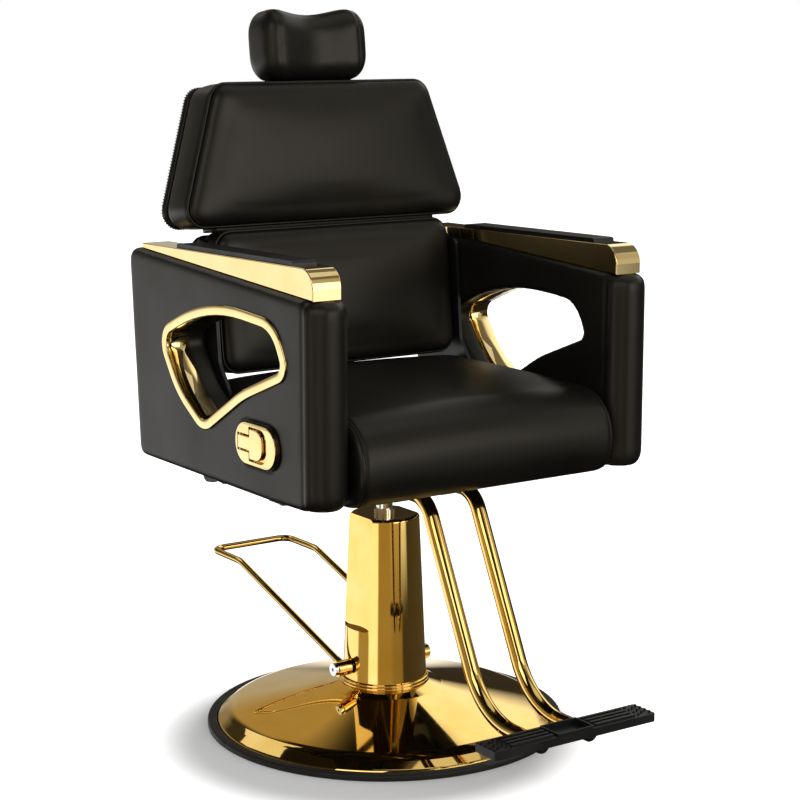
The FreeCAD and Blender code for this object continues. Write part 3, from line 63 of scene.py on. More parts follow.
studio = {
    "fillStrength": 0.5,  # what the surroundings give to matt surfaces
    "shineStrength": 1.42,  # what polished surfaces see
    # pale walls with dim gaps, by share of a turn from -X towards -Y, in bands up to the heights given
    "bands": [
        (-0.32, -0.42, [(0.0, "#1c1a17"), (1.0, "#1c1a17")]),
        (-0.15, -0.21, [(0.0, "#94845c"), (0.024, "#94845c"), (0.034, "#ffffff"), (0.096, "#ffffff"), (0.108, "#8c7a4e"),
                        (0.2, "#8c7a4e"), (0.23, "#7c6c48"), (0.29, "#7c6c48"), (0.31, "#383228"), (0.63, "#48433c"),
                        (0.645, "#f2f2f2"), (0.68, "#f2f2f2"), (0.695, "#6a6458"), (0.715, "#6a6458"), (0.728, "#fafafa"),
                        (0.925, "#fafafa"), (0.94, "#94845c"), (1.0, "#94845c")]),
        (-0.02, -0.10, [(0.0, "#94845c"), (0.024, "#94845c"), (0.034, "#ffffff"), (0.096, "#ffffff"), (0.108, "#8c7a4e"),
                        (0.2, "#8c7a4e"), (0.212, "#a49878"), (0.29, "#a49878"), (0.31, "#ffffff"), (0.352, "#ffffff"),
                        (0.366, "#383228"), (0.63, "#48433c"), (0.645, "#f2f2f2"), (0.68, "#f2f2f2"), (0.695, "#6a6458"),
                        (0.715, "#6a6458"), (0.728, "#f0f0f0"), (0.925, "#f0f0f0"), (0.94, "#94845c"), (1.0, "#94845c")]),
        (0.36, 0.22, [(0.0, "#7c735f"), (0.08, "#84795f"), (0.2, "#84795f"), (0.23, "#ffffff"), (0.30, "#ffffff"),
                      (0.33, "#a8a49a"), (0.37, "#a8a49a"), (0.39, "#2c2924"), (0.66, "#2c2924"), (0.672, "#9a9892"),
                      (0.70, "#9a9892"), (0.72, "#7c776c"), (0.92, "#7c776c"), (0.94, "#7c735f"), (1.0, "#7c735f")]),
        (0.70, 0.63, [(0.0, "#2a2722"), (0.24, "#2a2722"), (0.27, "#9c978c"), (0.40, "#9c978c"), (0.47, "#f4f4ee"),
                      (0.63, "#f4f4ee"), (0.645, "#3a352c"), (0.665, "#3a352c"), (0.68, "#94825a"), (0.71, "#94825a"),
                      (0.73, "#302d28"), (0.9, "#302d28"), (1.0, "#2a2722")]),
        (1, 1, [(0.0, "#14120f"), (0.25, "#14120f"), (0.3, "#605c55"), (0.6, "#605c55"), (0.64, "#14120f"),
                (1.0, "#14120f")])],
    "floorColour": "#f4f4f4",
    "floorLift": (0.0, 1.0),  # camera-ray glow by the chair, and from the outer edge of the painted shadow; withheld by the chair, it leaves painted shade there
    # middle and reach of a disc of painted shadow, set off towards the front left, inside which the floor's glow is
    # withheld
    "paintedShadowMiddle": (-0.065, -0.055, 0),
    "paintedShadowReach": (0.28, 0.41),
    "lamps": {  # place, aim, width, height, watts
        "windowLamp": ((-3.2, -2.6, 2.9), (0, 0, 0.6), 2.6, 2.2, 34),
        "roofLamp": ((0.6, -0.6, 4.2), (0, 0, 0.5), 3.0, 3.0, 16),
        "frontLamp": ((1.3, -4.2, 1.6), (0, 0, 0.8), 3.0, 2.4, 34),
        "rearLamp": ((-0.9, 3.7, 3.6), (0, 0, 0.8), 2.4, 2.0, 14),
    },
}


def toLinear(hexColour):
    channels = [int(hexColour[i:i + 2], 16) / 255 for i in (1, 3, 5)]
    return [c / 12.92 if c <= 0.04045 else ((c + 0.055) / 1.055) ** 2.4 for c in channels] + [1]


def addNode(tree, kind, settings=(), links=()):
    made = tree.nodes.new(kind)
    for key, setting in dict(settings).items():
        if key == "stops":
            ramp = made.color_ramp.elements
            while len(ramp) < len(setting):
                ramp.new(1)
            for element, (place, colour) in zip(ramp, setting):
                element.position = place
                element.color = toLinear(colour)
        elif isinstance(key, int) or key in made.inputs:
            made.inputs[key].default_value = setting
        else:
            setattr(made, key, setting)
    for key, source in dict(links).items():
        tree.links.new(source, made.inputs[key])
    return made


def emptyTree(holder):
    holder.use_nodes = True
    holder.node_tree.nodes.clear()
    return holder.node_tree


def startMaterial(name):
    material = bpy.data.materials.new(name)
    tree = emptyTree(material)
    return material, tree, addNode(tree, "ShaderNodeTexCoord").outputs["Object"]


def makeCamera():
    camera = bpy.data.objects.new("photoCamera", bpy.data.cameras.new("photoCamera"))
    scene.collection.objects.link(camera)
    camera.location = photoCamera["place"]
    camera.rotation_euler = [math.radians(angle) for angle in photoCamera["turn"]]
    camera.data.lens = photoCamera["lens"]
    camera.data.sensor_width = photoCamera["sensor"]
    camera.data.clip_end = 60
    scene.camera = camera


def makeStudio():
    world = bpy.data.worlds.new("studio")
    scene.world = world
    tree = emptyTree(world)
    path = addNode(tree, "ShaderNodeLightPath").outputs
    direction = addNode(tree, "ShaderNodeTexCoord").outputs["Generated"]
    parts = addNode(tree, "ShaderNodeSeparateXYZ", (), {0: direction}).outputs
    turn = addNode(tree, "ShaderNodeMath", {"operation": "ARCTAN2"}, {0: parts["Y"], 1: parts["X"]})
    share = addNode(tree, "ShaderNodeMapRange", {"From Min": -math.pi, "From Max": math.pi}, {"Value": turn.outputs[0]})
    walls = None
    for top, faded, stops in reversed(studio["bands"]):
        band = addNode(tree, "ShaderNodeValToRGB", {"stops": stops}, {0: share.outputs[0]}).outputs[0]
        if walls:
            under = addNode(tree, "ShaderNodeMapRange", {"From Min": top, "From Max": faded}, {"Value": parts["Z"]})
            mixed = addNode(tree, "ShaderNodeMix", {"data_type": "RGBA"}, {0: under.outputs[0], 6: walls, 7: band})
            band = mixed.outputs[2]
        walls = band
    fill = addNode(tree, "ShaderNodeBackground", {"Color": toLinear("#ffffff"), "Strength": studio["fillStrength"]})
    shine = addNode(tree, "ShaderNodeBackground", {"Strength": studio["shineStrength"]}, {"Color": walls})
    white = addNode(tree, "ShaderNodeBackground", {"Color": toLinear("#ffffff"), "Strength": 1})
    lit = addNode(tree, "ShaderNodeMixShader", (), {0: path["Is Glossy Ray"], 1: fill.outputs[0], 2: shine.outputs[0]})
    seen = addNode(tree, "ShaderNodeMath", {"operation": "MAXIMUM"},
                   {0: path["Is Camera Ray"], 1: path["Is Transmission Ray"]})
    both = addNode(tree, "ShaderNodeMixShader", (), {0: seen.outputs[0], 1: lit.outputs[0], 2: white.outputs[0]})
    addNode(tree, "ShaderNodeOutputWorld", (), {"Surface": both.outputs[0]})

    half = 9
    floor = meshObject("studioFloor", [(-half, -half, 0), (half, -half, 0), (half, half, 0), (-half, half, 0)],
                       [(0, 1, 2, 3)])
    floor.location.z = -0.0005
    paint = bpy.data.materials.new("floorPaint")  # matt white paint, which keeps the chair's soft shadow; its glow for camera rays is withheld near the chair, which paints extra shade round it
    tree = emptyTree(paint)
    path = addNode(tree, "ShaderNodeLightPath").outputs
    matt = addNode(tree, "ShaderNodeBsdfDiffuse", {"Color": toLinear(studio["floorColour"])})
    place = addNode(tree, "ShaderNodeNewGeometry").outputs["Position"]
    # the glow rises with distance from the painted shadow's middle: painted shade on the floor near the chair, on top
    # of its real shadow
    away = addNode(tree, "ShaderNodeVectorMath", {"operation": "DISTANCE", 1: studio["paintedShadowMiddle"]}, {0: place})
    near, far = studio["floorLift"]
    inner, outer = studio["paintedShadowReach"]
    rise = addNode(tree, "ShaderNodeMapRange", {"interpolation_type": "SMOOTHSTEP", "From Min": inner, "From Max": outer,
                   "To Min": near, "To Max": far}, {"Value": away.outputs["Value"]})
    lift = addNode(tree, "ShaderNodeEmission", {"Color": toLinear("#ffffff")}, {"Strength": rise.outputs[0]})
    seen = addNode(tree, "ShaderNodeMath", {"operation": "MAXIMUM"},
                   {0: path["Is Camera Ray"], 1: path["Is Transmission Ray"]})
    more = addNode(tree, "ShaderNodeAddShader", (), {0: matt.outputs[0], 1: lift.outputs[0]})
    both = addNode(tree, "ShaderNodeMixShader", (), {0: seen.outputs[0], 1: matt.outputs[0], 2: more.outputs[0]})
    through = addNode(tree, "ShaderNodeBsdfTransparent")
    shown = addNode(tree, "ShaderNodeMixShader", (), {0: path["Is Glossy Ray"], 1: both.outputs[0], 2: through.outputs[0]})
    addNode(tree, "ShaderNodeOutputMaterial", (), {"Surface": shown.outputs[0]})
    floor.data.materials.append(paint)

    for name, (place, aim, width, height, watts) in studio["lamps"].items():
        lamp = bpy.data.objects.new(name, bpy.data.lights.new(name, "AREA"))
        scene.collection.objects.link(lamp)
        lamp.data.shape = "RECTANGLE"
        lamp.data.size, lamp.data.size_y = width, height
        lamp.data.energy = watts
        lamp.location = place
        lamp.rotation_euler = (Vector(aim) - Vector(place)).to_track_quat("-Z", "Y").to_euler()


def meshObject(name, points, faces, material=None):
    mesh = bpy.data.meshes.new(name)
    mesh.from_pydata([tuple(point) for point in points], [], faces)
    mesh.update()
    piece = bpy.data.objects.new(name, mesh)
    scene.collection.objects.link(piece)
    if material:
        mesh.materials.append(material)
    mesh.shade_smooth()
    return piece


makeCamera()
makeStudio()
print("camera, floor and light made")


# Materials, each pattern's scale worked out from a real size in metres

leatherLook = {
    "dark": "#100f0e",
    "light": "#151412",
    "gloss": "#fff6e4",  # the finish gives a slightly warm shine
    "roughness": (0.36, 0.42),
    "grainWide": 0.0016,  # real grain is about 0.9 mm, drawn coarser so that it shows
    "grainDeep": 0.00003,
    "creaseWide": 0.05,
    "creaseDeep": 0.0002,
}


def makeLeather(name, look):
    # Split cowhide with a pressed, pigmented finish: satin, with soft wide highlights and a fine pebble
    material, tree, place = startMaterial(name)
    cloud = addNode(tree, "ShaderNodeTexNoise", {"Scale": 1 / 0.11, "Detail": 3}, {"Vector": place})
    dye = addNode(tree, "ShaderNodeValToRGB", {"stops": [(0.35, look["dark"]), (0.65, look["light"])]},
                  {0: cloud.outputs[0]})
    rubbed = addNode(tree, "ShaderNodeMapRange", {
        "From Min": 0.3, "From Max": 0.7, "To Min": look["roughness"][0], "To Max": look["roughness"][1]},
        {"Value": cloud.outputs[0]})
    crease = addNode(tree, "ShaderNodeTexNoise", {"Scale": 1 / look["creaseWide"], "Detail": 1.5}, {"Vector": place})
    soft = addNode(tree, "ShaderNodeBump", {"Strength": 0.5, "Distance": look["creaseDeep"]}, {"Height": crease.outputs[0]})
    pebble = addNode(tree, "ShaderNodeTexVoronoi", {
        "feature": "SMOOTH_F1", "Scale": 1 / look["grainWide"], "Smoothness": 0.4}, {"Vector": place})
    grain = addNode(tree, "ShaderNodeBump", {"Strength": 0.5, "Distance": look["grainDeep"], "invert": True},
                    {"Height": pebble.outputs["Distance"], "Normal": soft.outputs[0]})
    skin = addNode(tree, "ShaderNodeBsdfPrincipled", {"IOR": 1.4, "Specular Tint": toLinear(look["gloss"])},
                   {"Base Color": dye.outputs[0], "Roughness": rubbed.outputs[0], "Normal": grain.outputs[0]})
    addNode(tree, "ShaderNodeOutputMaterial", (), {"Surface": skin.outputs[0]})
    return material


metalLooks = {  # colour, second colour, low and high roughness, depth of the polishing waves
    "goldPlatedSteel": ("#f5d07c", "#efc56a", 0.03, 0.06, 0.00003),
    "paleGoldPlatedSteel": ("#f5dda0", "#f1d592", 0.04, 0.07, 0.00003),
    "chromePlatedSteel": ("#dfe1e4", "#cfd2d6", 0.04, 0.09, 0.00008),
    "zincPlatedSteel": ("#a9abad", "#8f9193", 0.25, 0.38, 0.00010),
}


def makeMetal(name, look):
    # Polished by wheel and plated: mirror-like, with long faint waves, hairlines and dulled patches
    colour, tired, low, high, waves = look
    material, tree, place = startMaterial(name)
    cloud = addNode(tree, "ShaderNodeTexNoise", {"Scale": 1 / 0.06, "Detail": 4}, {"Vector": place})
    tone = addNode(tree, "ShaderNodeValToRGB", {"stops": [(0.4, colour), (0.7, tired)]}, {0: cloud.outputs[0]})
    along = addNode(tree, "ShaderNodeMapping", {"Scale": (1 / 0.0015, 1 / 0.0015, 1 / 0.05)}, {"Vector": place})
    hairline = addNode(tree, "ShaderNodeTexNoise", {"Scale": 1, "Detail": 2}, {"Vector": along.outputs[0]})
    dull = addNode(tree, "ShaderNodeMath", {"operation": "MULTIPLY_ADD", 1: 0.4},
                   {0: hairline.outputs[0], 2: cloud.outputs[0]})
    rough = addNode(tree, "ShaderNodeMapRange", {"From Min": 0.4, "From Max": 1.0, "To Min": low, "To Max": high},
                    {"Value": dull.outputs[0]})
    wave = addNode(tree, "ShaderNodeTexNoise", {"Scale": 1 / 0.045, "Detail": 0}, {"Vector": place})
    polish = addNode(tree, "ShaderNodeBump", {"Strength": 0.4, "Distance": waves}, {"Height": wave.outputs[0]})
    plate = addNode(tree, "ShaderNodeBsdfPrincipled", {"Metallic": 1},
                    {"Base Color": tone.outputs[0], "Roughness": rough.outputs[0], "Normal": polish.outputs[0]})
    addNode(tree, "ShaderNodeOutputMaterial", (), {"Surface": plate.outputs[0]})
    return material


coatLooks = {  # colour, second colour, low and high roughness, width and depth of the texture
    "powderCoatedSteel": ("#0f0f0f", "#161616", 0.38, 0.5, 0.0016, 0.00008),  # sprayed and baked, orange peel
    "mouldedPolypropylene": ("#0c0c0c", "#131313", 0.34, 0.46, 0.0011, 0.00005),  # spark-eroded mould, satin
    "mouldedRubber": ("#0b0b0b", "#121212", 0.5, 0.66, 0.0020, 0.00006),  # dull, with a dusty bloom
    "castIron": ("#2b2b2c", "#3a3a3b", 0.55, 0.75, 0.0024, 0.0003),  # sand cast and painted, pitted
}


def makeCoat(name, look):
    colour, worn, low, high, wide, deep = look
    material, tree, place = startMaterial(name)
    cloud = addNode(tree, "ShaderNodeTexNoise", {"Scale": 1 / 0.05, "Detail": 4}, {"Vector": place})
    tone = addNode(tree, "ShaderNodeValToRGB", {"stops": [(0.35, colour), (0.7, worn)]}, {0: cloud.outputs[0]})
    rough = addNode(tree, "ShaderNodeMapRange", {"From Min": 0.3, "From Max": 0.7, "To Min": low, "To Max": high},
                    {"Value": cloud.outputs[0]})
    texture = addNode(tree, "ShaderNodeTexNoise", {"Scale": 1 / wide, "Detail": 2}, {"Vector": place})
    peel = addNode(tree, "ShaderNodeBump", {"Strength": 0.6, "Distance": deep}, {"Height": texture.outputs[0]})
    coat = addNode(tree, "ShaderNodeBsdfPrincipled", {"IOR": 1.5},
                   {"Base Color": tone.outputs[0], "Roughness": rough.outputs[0], "Normal": peel.outputs[0]})
    addNode(tree, "ShaderNodeOutputMaterial", (), {"Surface": coat.outputs[0]})
    return material


liningLook = {"colour": "#0d0d0d", "worn": "#171717", "thread": 0.0014, "deep": 0.0002}


def makeLining(name, look):
    # Spun-bonded polypropylene cloth stapled under the board: matt black, with a fine pressed waffle
    material, tree, place = startMaterial(name)
    dust = addNode(tree, "ShaderNodeTexNoise", {"Scale": 1 / 0.04, "Detail": 4}, {"Vector": place})
    tone = addNode(tree, "ShaderNodeValToRGB", {"stops": [(0.4, look["colour"]), (0.75, look["worn"])]},
                   {0: dust.outputs[0]})
    rows = addNode(tree, "ShaderNodeTexWave", {"bands_direction": "X", "Scale": 0.314 / look["thread"]}, {"Vector": place})
    lines = addNode(tree, "ShaderNodeTexWave", {"bands_direction": "Y", "Scale": 0.314 / look["thread"]}, {"Vector": place})
    waffle = addNode(tree, "ShaderNodeMath", {"operation": "MULTIPLY"}, {0: rows.outputs[1], 1: lines.outputs[1]})
    pressed = addNode(tree, "ShaderNodeBump", {"Strength": 0.6, "Distance": look["deep"]}, {"Height": waffle.outputs[0]})
    cloth = addNode(tree, "ShaderNodeBsdfPrincipled", {"Roughness": 0.9, "Specular IOR Level": 0.2},
                    {"Base Color": tone.outputs[0], "Normal": pressed.outputs[0]})
    addNode(tree, "ShaderNodeOutputMaterial", (), {"Surface": cloth.outputs[0]})
    return material


pressedLeather = makeLeather("pressedLeather", leatherLook)
pipingLeather = makeLeather("pipingLeather", dict(leatherLook, roughness=(0.32, 0.4), creaseDeep=0.0001))
sewingThread = makeCoat("bondedNylonThread", ("#161514", "#201f1d", 0.45, 0.6, 0.0006, 0.00005))  # twisted, waxed
metals = {name: makeMetal(name, look) for name, look in metalLooks.items()}
coats = {name: makeCoat(name, look) for name, look in coatLooks.items()}
liningCloth = makeLining("spunbondedPolypropylene", liningLook)

nodeFinishes = {
    metals["goldPlatedSteel"]: ["base_cover", "base_collar", "column_cover", "footrest_tube_left", "footrest_tube_right",
                                "pedal_loop"],
    metals["paleGoldPlatedSteel"]: ["arm_cap_left", "arm_cap_right", "window_trim_left", "window_trim_right",
                                    "latch_plate", "latch_paddle"],
    metals["chromePlatedSteel"]: ["pump_gland", "ram_rod", "ram_collar", "pedal_shaft", "latch_pin", "headrest_bar"],
    metals["zincPlatedSteel"]: ["thrust_bearing", "ram_piston", "pump_cylinder", "arm_bolt_left_1", "arm_bolt_left_2",
                                "arm_bolt_right_1", "arm_bolt_right_2", "recline_pin_left", "recline_pin_right"],
    coats["powderCoatedSteel"]: ["base_plate", "seat_hub", "seat_plate", "cross_bar_front", "cross_bar_rear",
                                 "recline_bar_left", "recline_bar_right", "recline_tie", "back_upright_left",
                                 "back_upright_right", "footrest_clamp_left", "footrest_clamp_right"],
    coats["mouldedPolypropylene"]: ["arm_pad_left", "arm_pad_right", "footplate", "tube_cap_left", "tube_cap_right",
                                    "headrest_socket"],
    coats["mouldedRubber"]: ["base_ring"],
    coats["castIron"]: ["pump_body"],
    liningCloth: ["seat_board"],
}
for finish, names in nodeFinishes.items():
    for name in names:
        for materialSlot in cadNodes[name].material_slots:
            materialSlot.material = finish
print("materials made")


# Tools for soft pieces

def settle(piece):  # works the modifiers into the mesh
    graph = bpy.context.evaluated_depsgraph_get()
    mesh = bpy.data.meshes.new_from_object(piece.evaluated_get(graph))
    piece.modifiers.clear()
    old = piece.data
    piece.data = mesh
    bpy.data.meshes.remove(old)
    return piece


def copyOfSolid(name, node, material):
    mesh = cadNodes[node].data.copy()
    mesh.materials.clear()
    mesh.materials.append(material)
    piece = bpy.data.objects.new(name, mesh)
    scene.collection.objects.link(piece)
    weld = piece.modifiers.new("weld", "WELD")
    weld.merge_threshold = 0.00001
    return settle(piece)


def evenMesh(piece, size, smoothing):
    remesh = piece.modifiers.new("even", "REMESH")
    remesh.mode = "VOXEL"
    remesh.voxel_size = size
    remesh.use_smooth_shade = True
    relax = piece.modifiers.new("relax", "SMOOTH")
    relax.factor = 0.5
    relax.iterations = smoothing
    return settle(piece)


def evenOut(piece, values, rounds):
    # averages a value of each point with those of its neighbours
    ends = numpy.empty(len(piece.data.edges) * 2, dtype=numpy.int64)
    piece.data.edges.foreach_get("vertices", ends)
    a, b = ends[0::2], ends[1::2]
    count = len(values)
    shares = numpy.bincount(ends, minlength=count)[:, None]
    for turn in range(rounds):
        total = [numpy.bincount(a, values[b, axis], count) + numpy.bincount(b, values[a, axis], count)
                 for axis in range(3)]
        values = (values + numpy.stack(total, 1) / shares) / 2
    return values


def placesOf(piece):
    places = numpy.empty(len(piece.data.vertices) * 3)
    piece.data.vertices.foreach_get("co", places)
    return places.reshape(-1, 3)


def putPlaces(piece, places):
    piece.data.vertices.foreach_set("co", places.ravel())
    piece.data.update()


def blowUp(piece, sewn, pressure, cap):
    # stuffing presses the cover out between its seams, and the pull is then spread so that no crease is left
    start = placesOf(piece)
    held = piece.vertex_groups.new(name="sewn")
    held.add([vertex.index for vertex in piece.data.vertices if sewn(vertex.co)], 1, "REPLACE")
    cloth = piece.modifiers.new("stuffing", "CLOTH")
    cloth.settings.quality = 5
    cloth.settings.mass = 0.4
    cloth.settings.tension_stiffness = cloth.settings.compression_stiffness = 25
    cloth.settings.bending_stiffness = 20
    cloth.settings.use_pressure = True
    cloth.settings.uniform_pressure_force = pressure
    cloth.settings.vertex_group_mass = "sewn"
    cloth.settings.effector_weights.gravity = 0
    cloth.collision_settings.use_collision = False
    cloth.point_cache.frame_start = 1
    cloth.point_cache.frame_end = 20
    for step in range(1, 21):
        scene.frame_set(step)
    settle(piece)
    scene.frame_set(1)
    piece.vertex_groups.clear()
    moves = placesOf(piece) - start
    long = numpy.linalg.norm(moves, axis=1, keepdims=True)
    moves *= numpy.minimum(1, cap / numpy.maximum(long, 1e-9))
    putPlaces(piece, start + evenOut(piece, moves, 24))


def subdivide(piece):
    finer = piece.modifiers.new("finer", "SUBSURF")
    finer.levels = finer.render_levels = 1
    settle(piece)
    piece.data.shade_smooth()


def pressSeam(piece, path, width, depth):
    # a valley along a seam
    tree = kdtree.KDTree(len(path))
    for index, point in enumerate(path):
        tree.insert(point, index)
    tree.balance()
    normals = [vertex.normal.copy() for vertex in piece.data.vertices]
    for vertex, normal in zip(piece.data.vertices, normals):
        distance = tree.find(vertex.co)[2]
        if distance < 4 * width:
            vertex.co += normal * (-depth * math.exp(-(distance / width) ** 2))
    piece.data.update()


def surfaceOf(piece):
    return BVHTree.FromPolygons([vertex.co for vertex in piece.data.vertices],
                                [tuple(face.vertices) for face in piece.data.polygons])


def onSurface(piece, points, lift):
    # the nearest places on a piece's skin, raised a little, and the skin's normals there
    skin = surfaceOf(piece)
    found = [skin.find_nearest(point) for point in points]
    return [spot + normal * lift for spot, normal, face, gap in found], [normal for spot, normal, face, gap in found]


def steadied(points, closed=False):
    # takes the small steps of a mesh out of a path, in 12 rounds
    line = [Vector(point) for point in points]
    count = len(line)
    for turn in range(12):
        inner = range(count) if closed else range(1, count - 1)
        mean = {index: (line[index - 1] + line[(index + 1) % count]) / 2 for index in inner}
        line = [line[index].lerp(mean[index], 0.5) if index in mean else line[index] for index in range(count)]
    return line


def evenPath(points, step, closed=False):
    line = [Vector(point) for point in points] + ([Vector(points[0])] if closed else [])
    lengths = [0.0]
    for a, b in zip(line, line[1:]):
        lengths.append(lengths[-1] + (b - a).length)
    count = max(2, round(lengths[-1] / step))
    result, segment = [], 0
    for index in range(count if closed else count + 1):
        target = lengths[-1] * index / count
        while segment < len(line) - 2 and lengths[segment + 1] < target:
            segment += 1
        span = lengths[segment + 1] - lengths[segment]
        result.append(line[segment].lerp(line[segment + 1], (target - lengths[segment]) / span if span else 0))
    return result


def roundedLine(corners, closed=True, arcSteps=8):
    # points through corners (a, b, radius) in a plane, with arcs at the corners
    points = []
    count = len(corners)
    for index, (a, b, radius) in enumerate(corners):
        at = Vector((a, b))
        if not closed and index in (0, count - 1) or radius <= 0:
            points.append(at)
            continue
        back = (Vector(corners[index - 1][:2]) - at).normalized()
        ahead = (Vector(corners[(index + 1) % count][:2]) - at).normalized()
        half = back.angle(ahead) / 2
        start = at + back * (radius / math.tan(half))
        end = at + ahead * (radius / math.tan(half))
        middle = at + (back + ahead).normalized() * (radius / math.sin(half))
        for step in range(arcSteps + 1):
            spoke = (start - middle).lerp(end - middle, step / arcSteps).normalized() * radius
            points.append(middle + spoke)
    return points


def wallFaces(rows, count, closed=False, flipped=False):
    # the faces between rings of points, each of the same count
    faces = []
    for row in range(rows if closed else rows - 1):
        near, far = row * count, (row + 1) % rows * count
        for index in range(count):
            following = (index + 1) % count
            corners = near + index, near + following, far + following, far + index
            faces.append((corners[0],) + corners[:0:-1] if flipped else corners)
    return faces


def capFaces(rows, count):
    return [tuple(range(count)), tuple(reversed(range((rows - 1) * count, rows * count)))]


def tube(name, path, radius, material, closed=False):
    points = []
    count, ring = len(path), 8
    side = None
    for index, point in enumerate(path):
        before = path[index - 1] if index or closed else point
        after = path[(index + 1) % count] if index < count - 1 or closed else point
        along = (after - before).normalized()
        if side is None:
            side = along.orthogonal().normalized()
        side = (side - along * side.dot(along)).normalized()
        other = along.cross(side)
        for turn in range(ring):
            angle = math.tau * turn / ring
            points.append(point + (side * math.cos(angle) + other * math.sin(angle)) * radius)
    faces = wallFaces(count, ring, closed)
    if not closed:
        faces.append(tuple(reversed(range(ring))))
        faces.append(tuple(range((count - 1) * ring, count * ring)))
    return meshObject(name, points, faces, material)


stitchLook = {"long": 0.0065, "thick": 0.0017, "pitch": 0.005}


def stitchRow(name, path, normals, look):
    # short threads across a closed seam, which dip into the leather at both ends
    points, faces = [], []
    thick = look["thick"]
    every = max(1, round(look["pitch"] / (path[1] - path[0]).length))
    for index in range(0, len(path), every):
        normal = normals[index]
        side = (path[(index + 1) % len(path)] - path[index]).normalized()
        side = (side - normal * side.dot(normal)).normalized()
        along = normal.cross(side)
        base = len(points)
        for share, fat, lift in ((-0.5, 0.45, -0.8), (-0.2, 1, 0.1), (0.2, 1, 0.1), (0.5, 0.45, -0.8)):
            middle = path[index] + along * (look["long"] * share) + normal * (thick * lift * 0.5)
            for turn in range(6):
                angle = math.tau * turn / 6
                points.append(middle + (side * math.cos(angle) + normal * math.sin(angle)) * (thick / 2 * fat))
        for row in range(3):
            for turn in range(6):
                following = (turn + 1) % 6
                a, b = base + row * 6, base + row * 6 + 6
                faces.append((a + turn, b + turn, b + following, a + following))
        faces.append(tuple(base + turn for turn in range(6)))
        faces.append(tuple(base + 18 + turn for turn in reversed(range(6))))
    return meshObject(name, points, faces, sewingThread)


def finishTrim(piece, body):
    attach(piece, body)


def finishSoft(piece, body, node):
    finishTrim(piece, body)
    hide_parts(node)


def finishMetal(piece, body, node=None):
    shape = bmesh.new()
    shape.from_mesh(piece.data)
    bmesh.ops.recalc_face_normals(shape, faces=shape.faces)
    shape.to_mesh(piece.data)
    shape.free()
    piece.data.shade_smooth()
    piece.data.set_sharp_from_angle(angle=math.radians(38))
    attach(piece, body)
    if node:
        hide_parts(node)


# Seat

def sideLoft(name, stations, material, count=120):
    # a closed form through side views (y, z) at places along X
    rings = []
    for x, corners in stations:
        path = evenPath([(x, a, b) for a, b in roundedLine(corners)], 0.001, closed=True)
        rings.append([path[round(index * len(path) / count) % len(path)] for index in range(count)])
    points = [point for ring in rings for point in ring]
    return meshObject(name, points, capFaces(len(rings), count) + wallFaces(len(rings), count, flipped=True), material)


def roundedEnds(half, rounding, steps=6, spans=24):
    # places along X with the draw-in of a rounded end
    places = []
    for step in range(steps + 1):
        angle = math.pi / 2 * step / steps
        places.append((-half + rounding * (1 - math.cos(angle)), rounding * (1 - math.sin(angle))))
    middle = [(-half + rounding + (2 * half - 2 * rounding) * step / spans, 0) for step in range(1, spans)]
    return places + middle + [(-x, inset) for x, inset in reversed(places)]


seatCushion = {
    "half": 0.2440,
    "endRound": 0.012,
    "rear": 0.1442,
    "front": -0.3045,
    "top": 0.5875,
    "crown": 0.0075,
    "rollTop": 0.072,  # roundings of the front roll
    "rollFoot": 0.050,
    "rearRound": 0.012,
    "voxel": 0.0055,
    "pressure": 3.5,
    "cap": 0.004,
    "sideLimit": 0.2465,  # half width that stays clear of the arms
    "rearLimit": 0.2338,
    "floorHeight": 0.4653,  # top of the seat board
    "boardFront": -0.2335,
    "rollLow": 0.4472,
    "endSeam": 0.2345,  # where the end panels are sewn on
    "seamWide": 0.0035,
    "seamDeep": 0.0020,
    "pipingRadius": 0.0016,
}


def seatProfile(look, inset, crown):
    top = look["top"] + crown - inset
    front, foot = look["front"] + inset, look["rollLow"] + inset * 0.5
    return [(look["rear"] - inset, look["floorHeight"], 0.004), (look["boardFront"] - 0.001, look["floorHeight"], 0),
            (look["boardFront"] - 0.001, foot, 0), (front, foot, look["rollFoot"]),
            (front, top - 0.006, look["rollTop"]), (-0.12, top, 0.9), (look["rear"] - inset, top - 0.001, look["rearRound"])]


def makeSeat():
    look = seatCushion
    stations = []
    for x, inset in roundedEnds(look["half"], look["endRound"]):
        stations.append((x, seatProfile(look, inset, look["crown"] * (1 - (x / look["half"]) ** 2))))
    cushion = sideLoft("seatCushion", stations, pressedLeather)
    evenMesh(cushion, look["voxel"], 5)

    def sewn(point):
        return point.z < look["floorHeight"] + 0.004 and point.y > look["boardFront"] + 0.01 or \
            abs(abs(point.x) - look["endSeam"]) < 0.003 or point.y > 0.135

    blowUp(cushion, sewn, look["pressure"], look["cap"])
    subdivide(cushion)
    for vertex in cushion.data.vertices:
        point = vertex.co
        limit = look["sideLimit"] if point.y < 0.05 else look["sideLimit"] + (look["rearLimit"] - look["sideLimit"]) * \
            min(1, (point.y - 0.05) / 0.012)
        point.x = max(-limit, min(limit, point.x))
        if point.y > look["boardFront"] - 0.001:
            point.z = max(point.z, look["floorHeight"])
        else:
            point.z = max(point.z, look["rollLow"])
    crown = look["crown"] * (1 - (look["endSeam"] / look["half"]) ** 2)
    profile = roundedLine(seatProfile(look, 0, crown)[3:] + [(look["rear"], 0.50, 0)], closed=False)
    for side, sign in sides.items():
        guide = evenPath([(sign * look["endSeam"], y, z) for y, z in profile], 0.003)
        path, normals = onSurface(cushion, guide, 0)
        pressSeam(cushion, path, look["seamWide"], look["seamDeep"])
        path, normals = onSurface(cushion, guide, look["pipingRadius"] * 0.2)
        finishTrim(tube("seatPiping" + side, steadied(path), look["pipingRadius"], pipingLeather), "seat")
    finishSoft(cushion, "seat", "seat_cushion")


makeSeat()
print("seat cushion made")


# Arms

